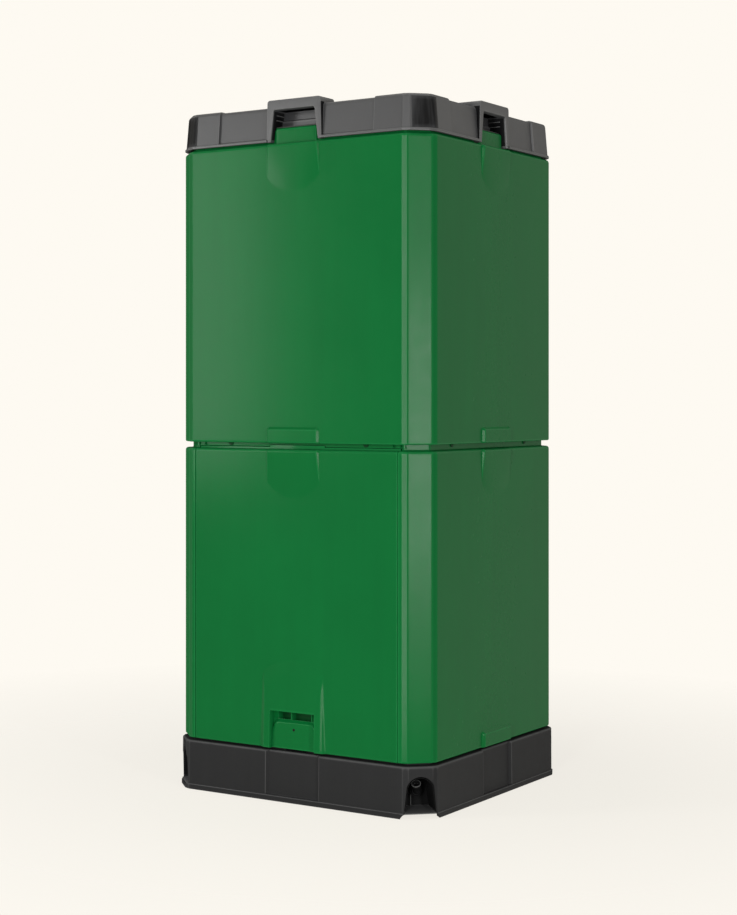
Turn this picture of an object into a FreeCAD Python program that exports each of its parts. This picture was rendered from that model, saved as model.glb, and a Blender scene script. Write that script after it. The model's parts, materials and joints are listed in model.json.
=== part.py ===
import FreeCAD, Part
import math
import os

import Sketcher
from FreeCAD import Placement, Rotation, Vector

# An insulated compost bin: a dark plinth with a leachate tray, two green double-walled tiers and a
# lift-off lid. The front of the lower tier is a door hung at its top edge, with a pressed latch at
# its foot. Millimetres, +Z up, the front door faces -Y, and the origin is the middle of the footprint.

doc = FreeCAD.newDocument("compost_bin")
sheet = doc.addObject("Spreadsheet::Sheet", "sizes")
cells = []
nodes = []


class Size:
    """A length that keeps its number together with the sheet expression that drives it."""

    def __init__(self, value, text):
        self.value = float(value)
        self.text = text

    def __add__(self, other):
        other = size(other)
        return Size(self.value + other.value, f"({self.text} + {other.text})")

    def __sub__(self, other):
        other = size(other)
        return Size(self.value - other.value, f"({self.text} - {other.text})")

    def __mul__(self, other):
        other = size(other)
        return Size(self.value * other.value, f"({self.text} * {other.text})")

    def __truediv__(self, other):
        other = size(other)
        return Size(self.value / other.value, f"({self.text} / {other.text})")

    def __radd__(self, other):
        return size(other) + self

    def __rsub__(self, other):
        return size(other) - self

    def __rmul__(self, other):
        return size(other) * self

    def __neg__(self):
        return Size(-self.value, f"(0 - {self.text})")


def size(item):
    """Any number or Size as a Size."""
    if isinstance(item, Size):
        return item
    return Size(item, f"{float(item):.6f}" if item >= 0 else f"(0 - {-float(item):.6f})")


def cell(alias, value, note):
    """Write one driving dimension into the sheet and hand it back as a Size."""
    row = len(cells) + 1
    sheet.set(f"A{row}", note)
    sheet.set(f"B{row}", str(value))
    sheet.setAlias(f"B{row}", alias)
    cells.append(alias)
    return Size(value, f"sizes.{alias}")


# Plan and heights of the stack
foot_half = cell("foot_half", 255, "half width over the foot lip")
foot_height = cell("foot_height", 9.5, "height of the foot lip")
skirt_half = cell("skirt_half", 252.5, "half width of the plinth above its lip")
skirt_taper = cell("skirt_taper", 1.15, "draft of the plinth in degrees")
base_top = cell("base_top", 84, "top of the plinth")
base_wall = cell("base_wall", 9, "wall of the plinth")
deck = cell("deck", 6, "thickness of the plinth's deck")
base_neck_top = cell("base_neck_top", 113, "top of the plinth's neck")
tier_half = cell("tier_half", 249.5, "half width of both tiers")
tier_leg = cell("tier_leg", 37, "leg of the corner chamfer")
corner_radius = cell("corner_radius", 28, "rounding of the chamfer's edges")
lower_bottom = cell("lower_bottom", 88, "bottom of the lower tier")
lower_top = cell("lower_top", 589.5, "shoulder of the lower tier")
upper_bottom = cell("upper_bottom", 599.5, "bottom of the upper tier")
upper_top = cell("upper_top", 1101.5, "shoulder of the upper tier")
neck_inset = cell("neck_inset", 13.5, "step from a tier's face to its neck")
neck_rise = cell("neck_rise", 25, "height of a tier's neck")
shoulder_round = cell("shoulder_round", 5, "rounding of a tier's top edge")
hem_round = cell("hem_round", 2.5, "rounding of a tier's bottom edge")
small_round = cell("small_round", 2, "rounding of small edges")
skin = cell("skin", 4, "wall of shells, liners and rims")
liner_inset = cell("liner_inset", 33.5, "step from a tier's face to the compost chamber")
liner_radius = cell("liner_radius", 6, "corner rounding of the liners")
gasket = cell("gasket", 2, "thickness of the gaskets between tiers")
hair = cell("hair", 0.3, "clearance of pieces that lie close")
foam_gap = cell("foam_gap", 0.5, "room round the insulation boards")
board_half = cell("board_half", 195, "half width of the insulation boards")

# Raised pads in the middle of the faces
pad_half = cell("pad_half", 47, "half width of the raised pads")
pad_proud = cell("pad_proud", 4, "how far the pads stand proud")
tongue_length = cell("tongue_length", 80, "length of the pad under a shoulder")
tongue_side = cell("tongue_side", 58, "straight side of that pad")
tongue_arc = cell("tongue_arc", 65, "radius of its round end")
foot_pad_height = cell("foot_pad_height", 26, "height of the pad at the bottom of a face")
pad_round = cell("pad_round", 5, "corner rounding of the pads")
tab_half = cell("tab_half", 42, "half width of the tabs on the top neck")
tab_proud = cell("tab_proud", 4, "how far the tabs stand proud of the neck")
tab_top = cell("tab_top", 1129, "top of the tabs")

# Door and its hinge
seam_half = cell("seam_half", 201, "half width of the door opening")
door_gap = cell("door_gap", 0.8, "seam beside the door")
door_depth = cell("door_depth", 27.5, "thickness of the door")
door_flange = cell("door_flange", 12, "rim of the door's outer skin")
hinge_depth = cell("hinge_depth", 11.5, "hinge axis behind the door's face")
hinge_drop = cell("hinge_drop", 11.5, "hinge axis below the door's top")
pin_radius = cell("pin_radius", 3, "radius of the hinge pins")
running_gap = cell("running_gap", 0.05, "radial clearance of turning fits")
header_bottom = cell("header_bottom", 593.5, "underside of the rail over the door")
bush_length = cell("bush_length", 6.5, "length of the hinge bushes")

# Latch boss
boss_top = cell("boss_top", 237.5, "top of the latch boss")
boss_shoulder = cell("boss_shoulder", 217.5, "start of the boss's round top")
boss_half_top = cell("boss_half_top", 57.5, "half width of the boss at its shoulders")
boss_half_bottom = cell("boss_half_bottom", 63, "half width of the boss at the bottom")
boss_arc = cell("boss_arc", 92.7, "radius of the boss's round top")
boss_proud = cell("boss_proud", 5.4, "how far the boss stands proud at the bottom")
well_half = cell("well_half", 44, "half width of the opening in the boss")
well_top = cell("well_top", 151, "top of the opening")
well_floor = cell("well_floor", 10, "floor of the opening behind the door's face")
slot_half = cell("slot_half", 34, "half width of the finger slot")
slot_bottom = cell("slot_bottom", 118.3, "lowest point of the hollow behind the slot")
slot_depth = cell("slot_depth", 20, "finger hollow behind the door's face")
latch_top = cell("latch_top", 139.5, "top of the latch tongue")
latch_recess = cell("latch_recess", 2.5, "tongue behind the door's face")
latch_wall = cell("latch_wall", 6, "thickness of the tongue")
latch_axis_height = cell("latch_axis_height", 94, "height of the latch's pin")
latch_pin_radius = cell("latch_pin_radius", 1.5, "radius of the latch's pin")
latch_gap = cell("latch_gap", 0.7, "room beside the tongue")
nose_half = cell("nose_half", 18, "half width of the latch's nose")
nose_reach = cell("nose_reach", 12, "tip of the nose behind the door's face")
latch_cheek = cell("latch_cheek", 8, "wall beside the opening in the boss")
door_skirt = cell("door_skirt", 12, "thickness of the door's lower edge, which hangs outside the base neck")
latch_round = cell("latch_round", 4, "rounding of the tongue's top edge")
rivet_height = cell("rivet_height", 121, "height of the rivet in the tongue")
rivet_radius = cell("rivet_radius", 1.75, "radius of the rivet")
coil_half = cell("coil_half", 5, "half length of the spring's coil on the latch pin")
coil_radius = cell("coil_radius", 3.4, "radius of the coil")
wire_radius = cell("wire_radius", 0.5, "radius of the spring wire")
keeper_top = cell("keeper_top", 89, "top of the keeper on the plinth")

# Base niches and drain
niche_half = cell("niche_half", 21.5, "half width of a corner arch where it springs")
niche_foot_half = cell("niche_foot_half", 27.5, "half width of a corner arch at the ground")
niche_spring = cell("niche_spring", 51, "height where the arch springs")
niche_apex = cell("niche_apex", 66, "height of the arch")
niche_arc = cell("niche_arc", 22.9, "radius of the arch")
niche_floor = cell("niche_floor", 10, "top of the niche's floor")
niche_back = cell("niche_back", 287, "back of a niche from the middle of the bin")
niche_wall = cell("niche_wall", 5, "wall round a niche")
niche_depth = cell("niche_depth", 38, "depth of a niche")
recess_depth = cell("recess_depth", 4.5, "depth of the recess in each side of the plinth")
drain_height = cell("drain_height", 40, "height of the drain's axis")
drain_radius = cell("drain_radius", 6.5, "outer radius of the drain outlet")
drain_bore = cell("drain_bore", 4.5, "bore of the drain")
elbow_radius = cell("elbow_radius", 8, "outer radius of the drain elbow")
elbow_reach = cell("elbow_reach", 18, "spout of the elbow from its axis")
elbow_tilt = cell("elbow_tilt", 35, "lean of the spout at rest, in degrees from upright")
socket_radius = cell("socket_radius", 9.5, "radius of the elbow's socket")
spout_radius = cell("spout_radius", 7.4, "radius of the spout")
collar_radius = cell("collar_radius", 9.2, "radius of the spout's collar")
collar = cell("collar", 3, "length of the collar on the spout")
outlet_length = cell("outlet_length", 19, "outlet tube beyond the niche's back")
nut_radius = cell("nut_radius", 11.5, "corner radius of the lock nut")
nut_length = cell("nut_length", 6, "length of the lock nut")
washer_thick = cell("washer_thick", 2, "thickness of the washer behind the outlet's flange")
recess_half = cell("recess_half", 47, "half width of the recess in each side of the plinth")

# Tray, grate and aeration column
tray_half = cell("tray_half", 220, "half width of the leachate tray")
tray_leg = cell("tray_leg", 48, "corner chamfer of the tray")
tray_bottom = cell("tray_bottom", 34, "underside of the tray")
tray_flange = cell("tray_flange", 3, "thickness of the tray's rim")
tray_wall = cell("tray_wall", 3, "wall of the tray")
grate_half = cell("grate_half", 221, "half width of the floor grate")
grate_thick = cell("grate_thick", 6, "thickness of the grate")
grate_slot = cell("grate_slot", 8, "width of the grate's slots")
grate_slot_long = cell("grate_slot_long", 130, "length of the grate's slots")
grate_bank = cell("grate_bank", 130, "middle of each bank of slots from the middle of the bin")
grate_pitch = cell("grate_pitch", 26, "spacing of the grate's slots")
chimney_half = cell("chimney_half", 38, "half width of the tray's air chimney")
chimney_top = cell("chimney_top", 104, "top of the air chimney")
column_half = cell("column_half", 48, "half width of the aeration column")
column_leg = cell("column_leg", 12, "corner chamfer of the aeration column")
column_wall = cell("column_wall", 4, "wall of the aeration column")
column_joint = cell("column_joint", 600, "joint between the column's two lengths")
column_top = cell("column_top", 1060, "top of the aeration column")
cap_slope = cell("cap_slope", 55, "slope of the cap in degrees from upright")
vent_half = cell("vent_half", 28, "half width of the column's vents")
vent_height = cell("vent_height", 10, "height of the column's vents")
vent_pitch = cell("vent_pitch", 36, "spacing of the column's vents")

# Lid
lid_bottom = cell("lid_bottom", 1105, "lower edge of the lid")
lid_top = cell("lid_top", 1166, "top of the lid's walls")
lid_half = cell("lid_half", 247.5, "half width of the lid at its lower edge")
lid_taper = cell("lid_taper", 4.7, "draft of the lid's walls in degrees")
lip_half = cell("lip_half", 249.5, "half width of the lid's lip")
lip_height = cell("lip_height", 7, "height of the lid's lip")
lid_round = cell("lid_round", 6, "rounding of the lid's top edge")
crown_half = cell("crown_half", 192, "half width of the raised middle of the lid")
crown_top = cell("crown_top", 1172, "top of the raised middle")
crown_slope = cell("crown_slope", 60, "slope of its edge in degrees from upright")
lid_wall = cell("lid_wall", 6, "wall of the lid")
mid_half = cell("mid_half", 153, "half width of the shallow panel in each side of the lid")
mid_recess = cell("mid_recess", 3, "depth of that panel")
bridge_half = cell("bridge_half", 54.5, "half width of a bridge handle")
bridge_front = cell("bridge_front", 250, "front of a bridge from the middle of the bin")
bridge_top = cell("bridge_top", 1175, "top of a bridge")
bridge_back = cell("bridge_back", 204, "back of a bridge's roof from the middle of the bin")
bridge_round = cell("bridge_round", 8, "rounding of a bridge's shoulders")
arch_top = cell("arch_top", 1158, "top of the opening under a bridge")
arch_half_top = cell("arch_half_top", 40, "half width of the opening at its top")
arch_half_bottom = cell("arch_half_bottom", 46.5, "half width of the opening at its bottom")
pocket_back = cell("pocket_back", 214, "back wall of the finger pocket")
pocket_floor = cell("pocket_floor", 1131.5, "lowest edge of the pocket's walls")
lid_seal_gap = cell("lid_seal_gap", 0.3, "room between the lid's seal and the neck")
facet_half = cell("facet_half", 20, "half width of the sunk facet on each lid corner")
facet_sink = cell("facet_sink", 2.2, "depth of that facet")
facet_bottom = cell("facet_bottom", 1113.5, "bottom of that facet")
facet_top = cell("facet_top", 1159, "top of that facet")
lid_plate = cell("lid_plate", 3.5, "thickness of the lid's inner plate")
post_radius = cell("post_radius", 7, "radius of the screw posts")
post_place = cell("post_place", 150, "screw posts from the middle lines of the lid")

# Fasteners
screw_radius = cell("screw_radius", 1.8, "radius of screw shanks")
screw_head = cell("screw_head", 3.6, "radius of screw heads")
screw_head_height = cell("screw_head_height", 2.2, "height of screw heads")
fastener_gap = cell("fastener_gap", 0.05, "room round screws and pins that don't turn")
peg_radius = cell("peg_radius", 5, "radius of the pegs in the neck")
peg_offset = cell("peg_offset", 134, "pegs from the middle of a side")
peg_height = cell("peg_height", 599.2, "height of the pegs")
peg_proud = cell("peg_proud", 1.5, "how far the pegs stand out of the neck")
neck_slot_near = cell("neck_slot_near", 191.5, "inner vent slot from the middle of a side")
neck_slot_far = cell("neck_slot_far", 209, "outer vent slot from the middle of a side")
neck_slot_half = cell("neck_slot_half", 1.6, "half width of the vent slots")

doc.recompute()

OVER = 2.0
FAR = 20.0
OUTLINE_LEG_SHRINK = 2 - math.sqrt(2)
FRONT_TO_SIDES = (0, 90, 180, 270)
CORNERS = (-45, 45, 135, 225)


def drive(item, **sizes):
    """Bind properties of an object to sizes; two underscores in a name stand for a dot."""
    for name, value in sizes.items():
        item.setExpression(name.replace("__", "."), size(value).text)


def origin_plane(body, role):
    """One of a body's own origin planes, found by its role."""
    return next(item for item in body.Origin.OriginFeatures if item.Role == role)


def arc_between(start, end, radius):
    """The shorter arc that leaves start, ends at end and has its centre on the left of that way."""
    chord = end - start
    middle = (start + end) * 0.5
    left = Vector(-chord.y, chord.x, 0).normalize()
    rise = radius - math.sqrt(max(0, radius ** 2 - (chord.Length / 2) ** 2))
    return Part.Arc(start, middle - left * rise, end)


def outline(body, plane, offset, points):
    """A closed sketch on an origin plane. Points go anticlockwise and are dimensioned from the origin;
    a third value makes the run that leads to the point an arc of that radius."""
    sketch = body.newObject("Sketcher::SketchObject", f"{body.Name}_outline")
    sketch.AttachmentSupport = (origin_plane(body, plane), [""])
    sketch.MapMode = "FlatFace"
    drive(sketch, AttachmentOffset__Base__z=offset)
    corners = [[size(value) for value in point] for point in points]
    places = [Vector(corner[0].value, corner[1].value, 0) for corner in corners]
    count = len(corners)
    for index, corner in enumerate(corners):
        start, end = places[index - 1], places[index]
        run = Part.LineSegment(start, end) if len(corner) == 2 else arc_between(start, end, corner[2].value)
        sketch.addGeometry(run)
    for index, corner in enumerate(corners):
        sketch.addConstraint(Sketcher.Constraint("Coincident", index, 2, (index + 1) % count, 1))
        for kind, value in (("DistanceX", corner[0]), ("DistanceY", corner[1])):
            row = sketch.addConstraint(Sketcher.Constraint(kind, -1, 1, index, 2, value.value))
            sketch.setExpression(f"Constraints[{row}]", value.text)
        if len(corner) == 3:
            row = sketch.addConstraint(Sketcher.Constraint("Radius", index, corner[2].value))
            sketch.setExpression(f"Constraints[{row}]", corner[2].text)
    return sketch


def round_edges(body, radius, test):
    """Round every edge of the body that passes the test."""
    doc.recompute()
    base = body.Tip
    names = [f"Edge{index}" for index, edge in enumerate(base.Shape.Edges, 1) if test(edge)]
    fillet = body.newObject("PartDesign::Fillet", f"{body.Name}_round")
    fillet.Base = (base, names)
    drive(fillet, Radius=radius)
    doc.recompute()


def upright(edge):
    """True for an edge that runs up the bin."""
    return abs(edge.tangentAt(edge.FirstParameter).z) > 0.9


def level(height):
    """A test for edges that lie at one height."""
    return lambda edge: all(abs(corner.Z - size(height).value) < 0.01 for corner in edge.Vertexes)


def prism(name, plane, offset, points, length, taper=None):
    """A body made by padding an outline away from its plane."""
    body = doc.addObject("PartDesign::Body", name)
    pad = body.newObject("PartDesign::Pad", f"{name}_pad")
    pad.Profile = outline(body, plane, offset, points)
    drive(pad, Length=length)
    if taper is not None:
        drive(pad, TaperAngle=-taper)
    body.Tip = pad
    doc.recompute()
    return body


def octagon(half, leg):
    """The corners of a square with its corners cut off."""
    near = half - leg
    return [(half, -near), (half, near), (near, half), (-near, half),
            (-half, near), (-half, -near), (-near, -half), (near, -half)]


def column(name, half, leg, radius, bottom, top, taper=None, round_top=None, round_bottom=None):
    """An upright column on the chamfered square plan, with its upright edges rounded."""
    body = prism(name, "XY_Plane", bottom, octagon(half, leg), top - bottom, taper)
    if radius is not None:
        round_edges(body, radius, upright)
    if round_top is not None:
        round_edges(body, round_top, level(top))
    if round_bottom is not None:
        round_edges(body, round_bottom, level(bottom))
    return body


def tier_column(name, inset, bottom, top, **options):
    """A column whose faces lie parallel to a tier's faces, this far inside them."""
    inset = size(inset)
    radius = corner_radius - inset
    if radius.value < liner_radius.value:
        radius = liner_radius
    leg = tier_leg - inset * OUTLINE_LEG_SHRINK
    return column(name, tier_half - inset, leg, radius, bottom, top, **options)


def block(name, x, y, z):
    """A block given by its low and high limits along each axis."""
    item = doc.addObject("Part::Box", name)
    spans = [(size(low), size(high)) for low, high in (x, y, z)]
    for side, axis, (low, high) in zip(("Length", "Width", "Height"), "xyz", spans):
        item.setExpression(side, (high - low).text)
        item.setExpression(f"Placement.Base.{axis}", low.text)
    return item


def rod(name, direction, start, length, radius):
    """A round bar from a start point along a direction."""
    item = doc.addObject("Part::Cylinder", name)
    item.Placement = Placement(Vector(), Rotation(Vector(0, 0, 1), Vector(*direction)))
    drive(item, Radius=radius, Height=length)
    drive(item, Placement__Base__x=start[0], Placement__Base__y=start[1], Placement__Base__z=start[2])
    return item


def group(name, items):
    """Several shapes side by side in one object."""
    item = doc.addObject("Part::Compound", name)
    item.Links = items
    return item


def fuse(name, *items):
    """Several shapes joined into one."""
    item = doc.addObject("Part::MultiFuse", name)
    item.Shapes = list(items)
    item.Refine = True
    return item


def cut(name, base, *tools):
    """A shape with others taken away."""
    item = doc.addObject("Part::Cut", name)
    item.Base = base
    item.Tool = tools[0] if len(tools) == 1 else group(f"{name}_tools", list(tools))
    item.Refine = True
    return item


def common(name, first, second):
    """What two shapes share."""
    item = doc.addObject("Part::Common", name)
    item.Base = first
    item.Tool = second
    return item


def turned(item, angles):
    """Copies of a shape turned about the bin's upright axis."""
    copies = []
    for angle in angles:
        copy = group(f"{item.Name}_at_{angle % 360}", [item])
        copy.Placement = Placement(Vector(), Rotation(Vector(0, 0, 1), angle))
        copies.append(copy)
    return copies


def node(name, item):
    """Name a finished sub-part."""
    item.Label = name
    nodes.append(item)
    return item


def both(half):
    """The limits of something that reaches equally far to both sides."""
    return -half, half


def bar(name, start, length, radius):
    """A round bar that runs along X from a start point."""
    return rod(name, (1, 0, 0), start, length, radius)


def screw_hole(name, direction, seat, length):
    """The hole for a screw that enters at the seat point against the given direction."""
    inward = tuple(-Vector(*direction))
    return rod(name, inward, seat, length, screw_radius + fastener_gap)


def screw(name, direction, seat, length):
    """A pan-head screw: its head stands on the seat point and its shank runs inward from there."""
    inward = tuple(-Vector(*direction))
    shank = rod(f"{name}_shank", inward, seat, length, screw_radius)
    return fuse(name, shank, rod(f"{name}_head", direction, seat, screw_head_height, screw_head))


def tier_ring(name, outside, inside, bottom, top):
    """A ring parallel to a tier's faces, from its outer inset to its inner one."""
    bore = tier_column(f"{name}_bore", inside, bottom - OVER, top + OVER)
    return cut(name, tier_column(f"{name}_body", outside, bottom, top), bore)


def along_front(test_height):
    """A test for edges that run front to back above a height."""
    return lambda edge: (abs(edge.tangentAt(edge.FirstParameter).y) > 0.9
                         and edge.Vertexes[0].Z > test_height.value)


def tapered(name, points, base, proud, low, high, side):
    """A raised form on the front face that thins to nothing: an outline cut by a slanting plane.
    low and high are (height, how far proud) at the two ends of the slope."""
    stock = prism(f"{name}_stock", "XZ_Plane", base - OVER, points, proud + OVER)
    slope = [(-(base + low[1]), low[0]), (-(base - OVER), low[0]),
             (-(base - OVER), high[0]), (-(base + high[1]), high[0])]
    wedge = prism(f"{name}_wedge", "YZ_Plane", -side, slope, side * 2)
    return common(name, stock, wedge)


def tongue_pad(name, shoulder):
    """The pad that hangs from a shoulder: straight sides, round end, flush at its foot."""
    top = shoulder - small_round
    spring = shoulder - tongue_side
    points = [(pad_half, spring, tongue_arc), (pad_half, top), (-pad_half, top), (-pad_half, spring)]
    return tapered(name, points, tier_half, pad_proud,
                   (shoulder - tongue_length, 0), (top, pad_proud), pad_half + OVER)


def foot_pad(name, bottom):
    """The square pad at the bottom of a face, with its two upper corners rounded."""
    low = bottom + hem_round
    high = bottom + foot_pad_height
    points = [(pad_half, low), (pad_half, high), (-pad_half, high), (-pad_half, low)]
    body = prism(name, "XZ_Plane", tier_half - OVER, points, pad_proud + OVER)
    round_edges(body, pad_round, along_front(high - 1))
    return body


def hollow_tier(name, bottom, shoulder, raised):
    """A tier's outer shell: skin, shoulder, neck with its rim, and the flange round its foot."""
    neck_top = shoulder + neck_rise
    outer = tier_column(f"{name}_outer", 0, bottom, shoulder,
                        round_top=shoulder_round, round_bottom=hem_round)
    neck = tier_column(f"{name}_neck", neck_inset, shoulder - skin, neck_top, round_top=small_round)
    whole = fuse(f"{name}_whole", outer, neck, *raised)
    return cut(f"{name}_hollow", whole,
               tier_column(f"{name}_cavity", skin, bottom + skin, shoulder - skin),
               tier_column(f"{name}_neck_bore", neck_inset + skin, shoulder - skin - OVER, neck_top - skin),
               tier_column(f"{name}_rim_bore", liner_inset, neck_top - skin - OVER, neck_top + OVER),
               tier_column(f"{name}_foot_bore", neck_inset - skin, bottom - OVER, bottom + skin + OVER))


def tier_liner(name, seat, top):
    """The chamber's inner wall with the flange that it stands on."""
    wall = tier_column(f"{name}_wall", liner_inset - skin, seat, top)
    flange = tier_column(f"{name}_flange", neck_inset + 1, seat, seat + skin)
    whole = fuse(f"{name}_whole", wall, flange)
    return cut(f"{name}_bored", whole, tier_column(f"{name}_bore", liner_inset, seat - OVER, top + OVER))


def insulation(name, bottom, top):
    """One flat board that fills the front wall between shell and liner."""
    inner = tier_half - liner_inset + skin + foam_gap
    outer = tier_half - skin - foam_gap
    return block(name, both(board_half), (-outer, -inner), (bottom, top))


SIDE_NAMES = {0: "front", 90: "right", 180: "back", 270: "left"}
DRAIN_CORNER = (-45,)
POST_SIDES = ((1, 1), (-1, 1), (-1, -1), (1, -1))
DOOR_SCREW_ROWS = (150, 260, 370, 480, 565)
GRATE_ROWS = 7
FRONT_AND_BACK = (0, 180)
DOOR_SIDES = (90, 180, 270)

# Tray screws, drain and niches share these places
flange_top = base_top + tray_flange
tray_screw_depth = tray_flange + deck - 1
TRAY_SCREW_ROWS = (-150, -50, 50, 150)
tray_screw_line = -(tray_half + screw_head + OVER)
tray_screws = []
tray_screw_holes = []
for number, row in enumerate(TRAY_SCREW_ROWS):
    seat = (row, tray_screw_line, flange_top)
    one_screw = screw(f"tray_screw{number}", (0, 0, 1), seat, tray_screw_depth)
    one_hole = screw_hole(f"tray_hole{number}", (0, 0, 1), seat, tray_screw_depth)
    tray_screws += turned(one_screw, FRONT_AND_BACK)
    tray_screw_holes += turned(one_hole, FRONT_AND_BACK)
tray_face = (tray_half * 2 - tray_leg) / math.sqrt(2)
outlet_start = tray_face - tray_wall - 1
drain_hole = bar("drain_hole", (outlet_start, 0, drain_height), niche_back - outlet_start + OVER,
                 drain_radius + fastener_gap)
drain_holes = turned(drain_hole, DRAIN_CORNER)

# Plinth: skirt on a foot lip, deck with a neck for the lower tier, and a vaulted niche in each corner
niche_low_half = niche_foot_half - (niche_foot_half - niche_half) * (niche_floor / niche_spring)
foot = tier_column("foot", tier_half - foot_half, 0, foot_height, round_top=small_round)
skirt_leg = tier_leg + (skirt_half - tier_half) * OUTLINE_LEG_SHRINK
skirt = column("skirt", skirt_half, skirt_leg, corner_radius, foot_height - 1, base_top,
               taper=skirt_taper, round_top=small_round * 1.5)
base_neck = tier_column("base_neck", neck_inset, base_top - 1, base_neck_top, round_top=small_round)
base_hollow = cut(
    "base_hollow", fuse("base_whole", foot, skirt, base_neck),
    tier_column("base_inside", base_wall - (skirt_half - tier_half), -OVER, base_top - deck),
    tier_column("deck_bore", tier_half - tray_half - OVER, base_top - deck - OVER, base_top + OVER),
    tier_column("base_neck_bore", neck_inset + skin, base_top, base_neck_top + OVER))
niche_side = niche_foot_half + niche_wall
niche_block = block("niche_block", (niche_back - niche_wall, niche_back + niche_depth),
                    both(niche_side), (0, niche_apex + niche_wall))
vault = prism("vault", "YZ_Plane", niche_back,
              [(niche_low_half, niche_floor), (niche_half, niche_spring),
               (-niche_half, niche_spring, niche_arc), (-niche_low_half, niche_floor)], niche_depth * 2)
lip_cut = block("lip_cut", (niche_back + niche_depth, niche_back + niche_depth * 2),
                both(niche_foot_half), (-OVER, niche_floor + OVER))
side_recess = block("side_recess", both(recess_half),
                    (-(skirt_half + OVER), -(skirt_half - recess_depth)), (foot_height, base_top + OVER))
base_blocks = fuse("base_blocks", base_hollow, *turned(niche_block, CORNERS))
node("base_plinth", cut("plinth", base_blocks, *turned(vault, CORNERS), *turned(lip_cut, CORNERS),
                        *turned(side_recess, FRONT_TO_SIDES), *drain_holes, *tray_screw_holes))

# Leachate tray hung in the plinth, with an air chimney welded over the hole in its middle
tray_whole = fuse(
    "tray_whole",
    column("tray_basin", tray_half, tray_leg, corner_radius, tray_bottom, base_top),
    tier_column("tray_rim", neck_inset + skin + 1, base_top, flange_top))
tray_inside = column("tray_inside", tray_half - tray_wall, tray_leg - tray_wall * OUTLINE_LEG_SHRINK,
                     corner_radius, tray_bottom + tray_wall, flange_top + OVER)
chimney = block("chimney", both(chimney_half), both(chimney_half), (tray_bottom + tray_wall, chimney_top))
flue_half = chimney_half - tray_wall
flue = block("flue", both(flue_half), both(flue_half), (tray_bottom - OVER, chimney_top + OVER))
node("leachate_tray", cut("tray", tray_whole, tray_inside, flue, *drain_holes, *tray_screw_holes))
node("air_chimney", cut("chimney_tube", chimney, flue))
node("tray_screws", group("tray_screw_set", tray_screws))

# Drain through the tray and the niche wall, with an elbow that swivels on the outlet's end


def at_corner(name, item):
    """Name a sub-part of the drain and turn it from the X axis to the near corner."""
    return node(name, group(f"{item.Name}_at_corner", turned(item, DRAIN_CORNER)))


outlet_end = niche_back + outlet_length
outlet_clear = drain_radius + fastener_gap
washer_start = tray_face + hair
outlet_flange = washer_start + washer_thick
flange_long = niche_back - niche_wall - hair - outlet_flange
outlet = fuse("outlet_solid",
              bar("outlet_tube", (outlet_start, 0, drain_height), outlet_end - outlet_start, drain_radius),
              bar("outlet_flange", (outlet_flange, 0, drain_height), flange_long, nut_radius))
outlet_bore = bar("outlet_bore", (outlet_start - OVER, 0, drain_height), outlet_end - outlet_start + OVER * 2,
                  drain_bore)
at_corner("drain_outlet", cut("outlet", outlet, outlet_bore))
washer = cut("washer", bar("washer_body", (washer_start, 0, drain_height), washer_thick, nut_radius),
             bar("washer_bore", (washer_start - OVER, 0, drain_height), washer_thick + OVER * 2, outlet_clear))
at_corner("drain_washer", washer)
nut_points = []
for turn in range(0, 360, 60):
    angle = math.radians(turn)
    nut_points.append((nut_radius * math.sin(angle), drain_height - nut_radius * math.cos(angle)))
nut = prism("nut", "YZ_Plane", niche_back, nut_points, nut_length)
nut_bore = bar("nut_bore", (niche_back - OVER, 0, drain_height), nut_length + OVER * 2, outlet_clear)
at_corner("drain_locknut", cut("nut_bored", nut, nut_bore))
elbow_start = niche_back + nut_length + foam_gap
elbow_turn = outlet_end + elbow_radius + 1
elbow_lean = math.radians(elbow_tilt.value)
elbow_axis = (0, -math.sin(elbow_lean), math.cos(elbow_lean))
elbow_middle = (elbow_turn, 0, drain_height)
collar_along = elbow_reach - collar
collar_start = (elbow_turn, collar_along * elbow_axis[1], drain_height + collar_along * elbow_axis[2])
socket_long = outlet_end - elbow_start + 1
elbow_long = elbow_turn - outlet_end + elbow_radius
elbow_body = fuse("elbow_body",
                  bar("elbow_socket", (elbow_start, 0, drain_height), socket_long, socket_radius),
                  bar("elbow_run", (outlet_end, 0, drain_height), elbow_long, elbow_radius),
                  rod("elbow_spout", elbow_axis, elbow_middle, elbow_reach, spout_radius),
                  rod("elbow_collar", elbow_axis, collar_start, collar, collar_radius))
elbow_fit = bar("elbow_fit", (elbow_start - OVER, 0, drain_height), socket_long + OVER - 1,
                drain_radius + running_gap)
elbow_passage = bar("elbow_passage", (outlet_end - OVER, 0, drain_height), elbow_turn - outlet_end + OVER * 2,
                    drain_bore - hair)
elbow_mouth = rod("elbow_mouth", elbow_axis, elbow_middle, elbow_reach + OVER, drain_bore)
at_corner("drain_elbow", cut("elbow", elbow_body, fuse("elbow_ways", elbow_fit, elbow_passage, elbow_mouth)))

# Slotted floor over the tray
grate_top = flange_top + grate_thick
grate_through = (flange_top - OVER, grate_top + OVER)
grate_plate = column("grate_plate", grate_half, tier_leg, corner_radius, flange_top, grate_top)
grate_cuts = [block("grate_middle", both(chimney_half + 1), both(chimney_half + 1), grate_through)]
for row in range(-GRATE_ROWS, GRATE_ROWS + 1):
    low = grate_pitch * row - grate_slot / 2
    for label, middle in (("right", grate_bank), ("left", -grate_bank)):
        along = (middle - grate_slot_long / 2, middle + grate_slot_long / 2)
        across = (low, low + grate_slot)
        grate_cuts.append(block(f"grate_slot_{label}{row + GRATE_ROWS}", along, across, grate_through))
node("floor_grate", cut("grate", grate_plate, *grate_cuts))


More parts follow.
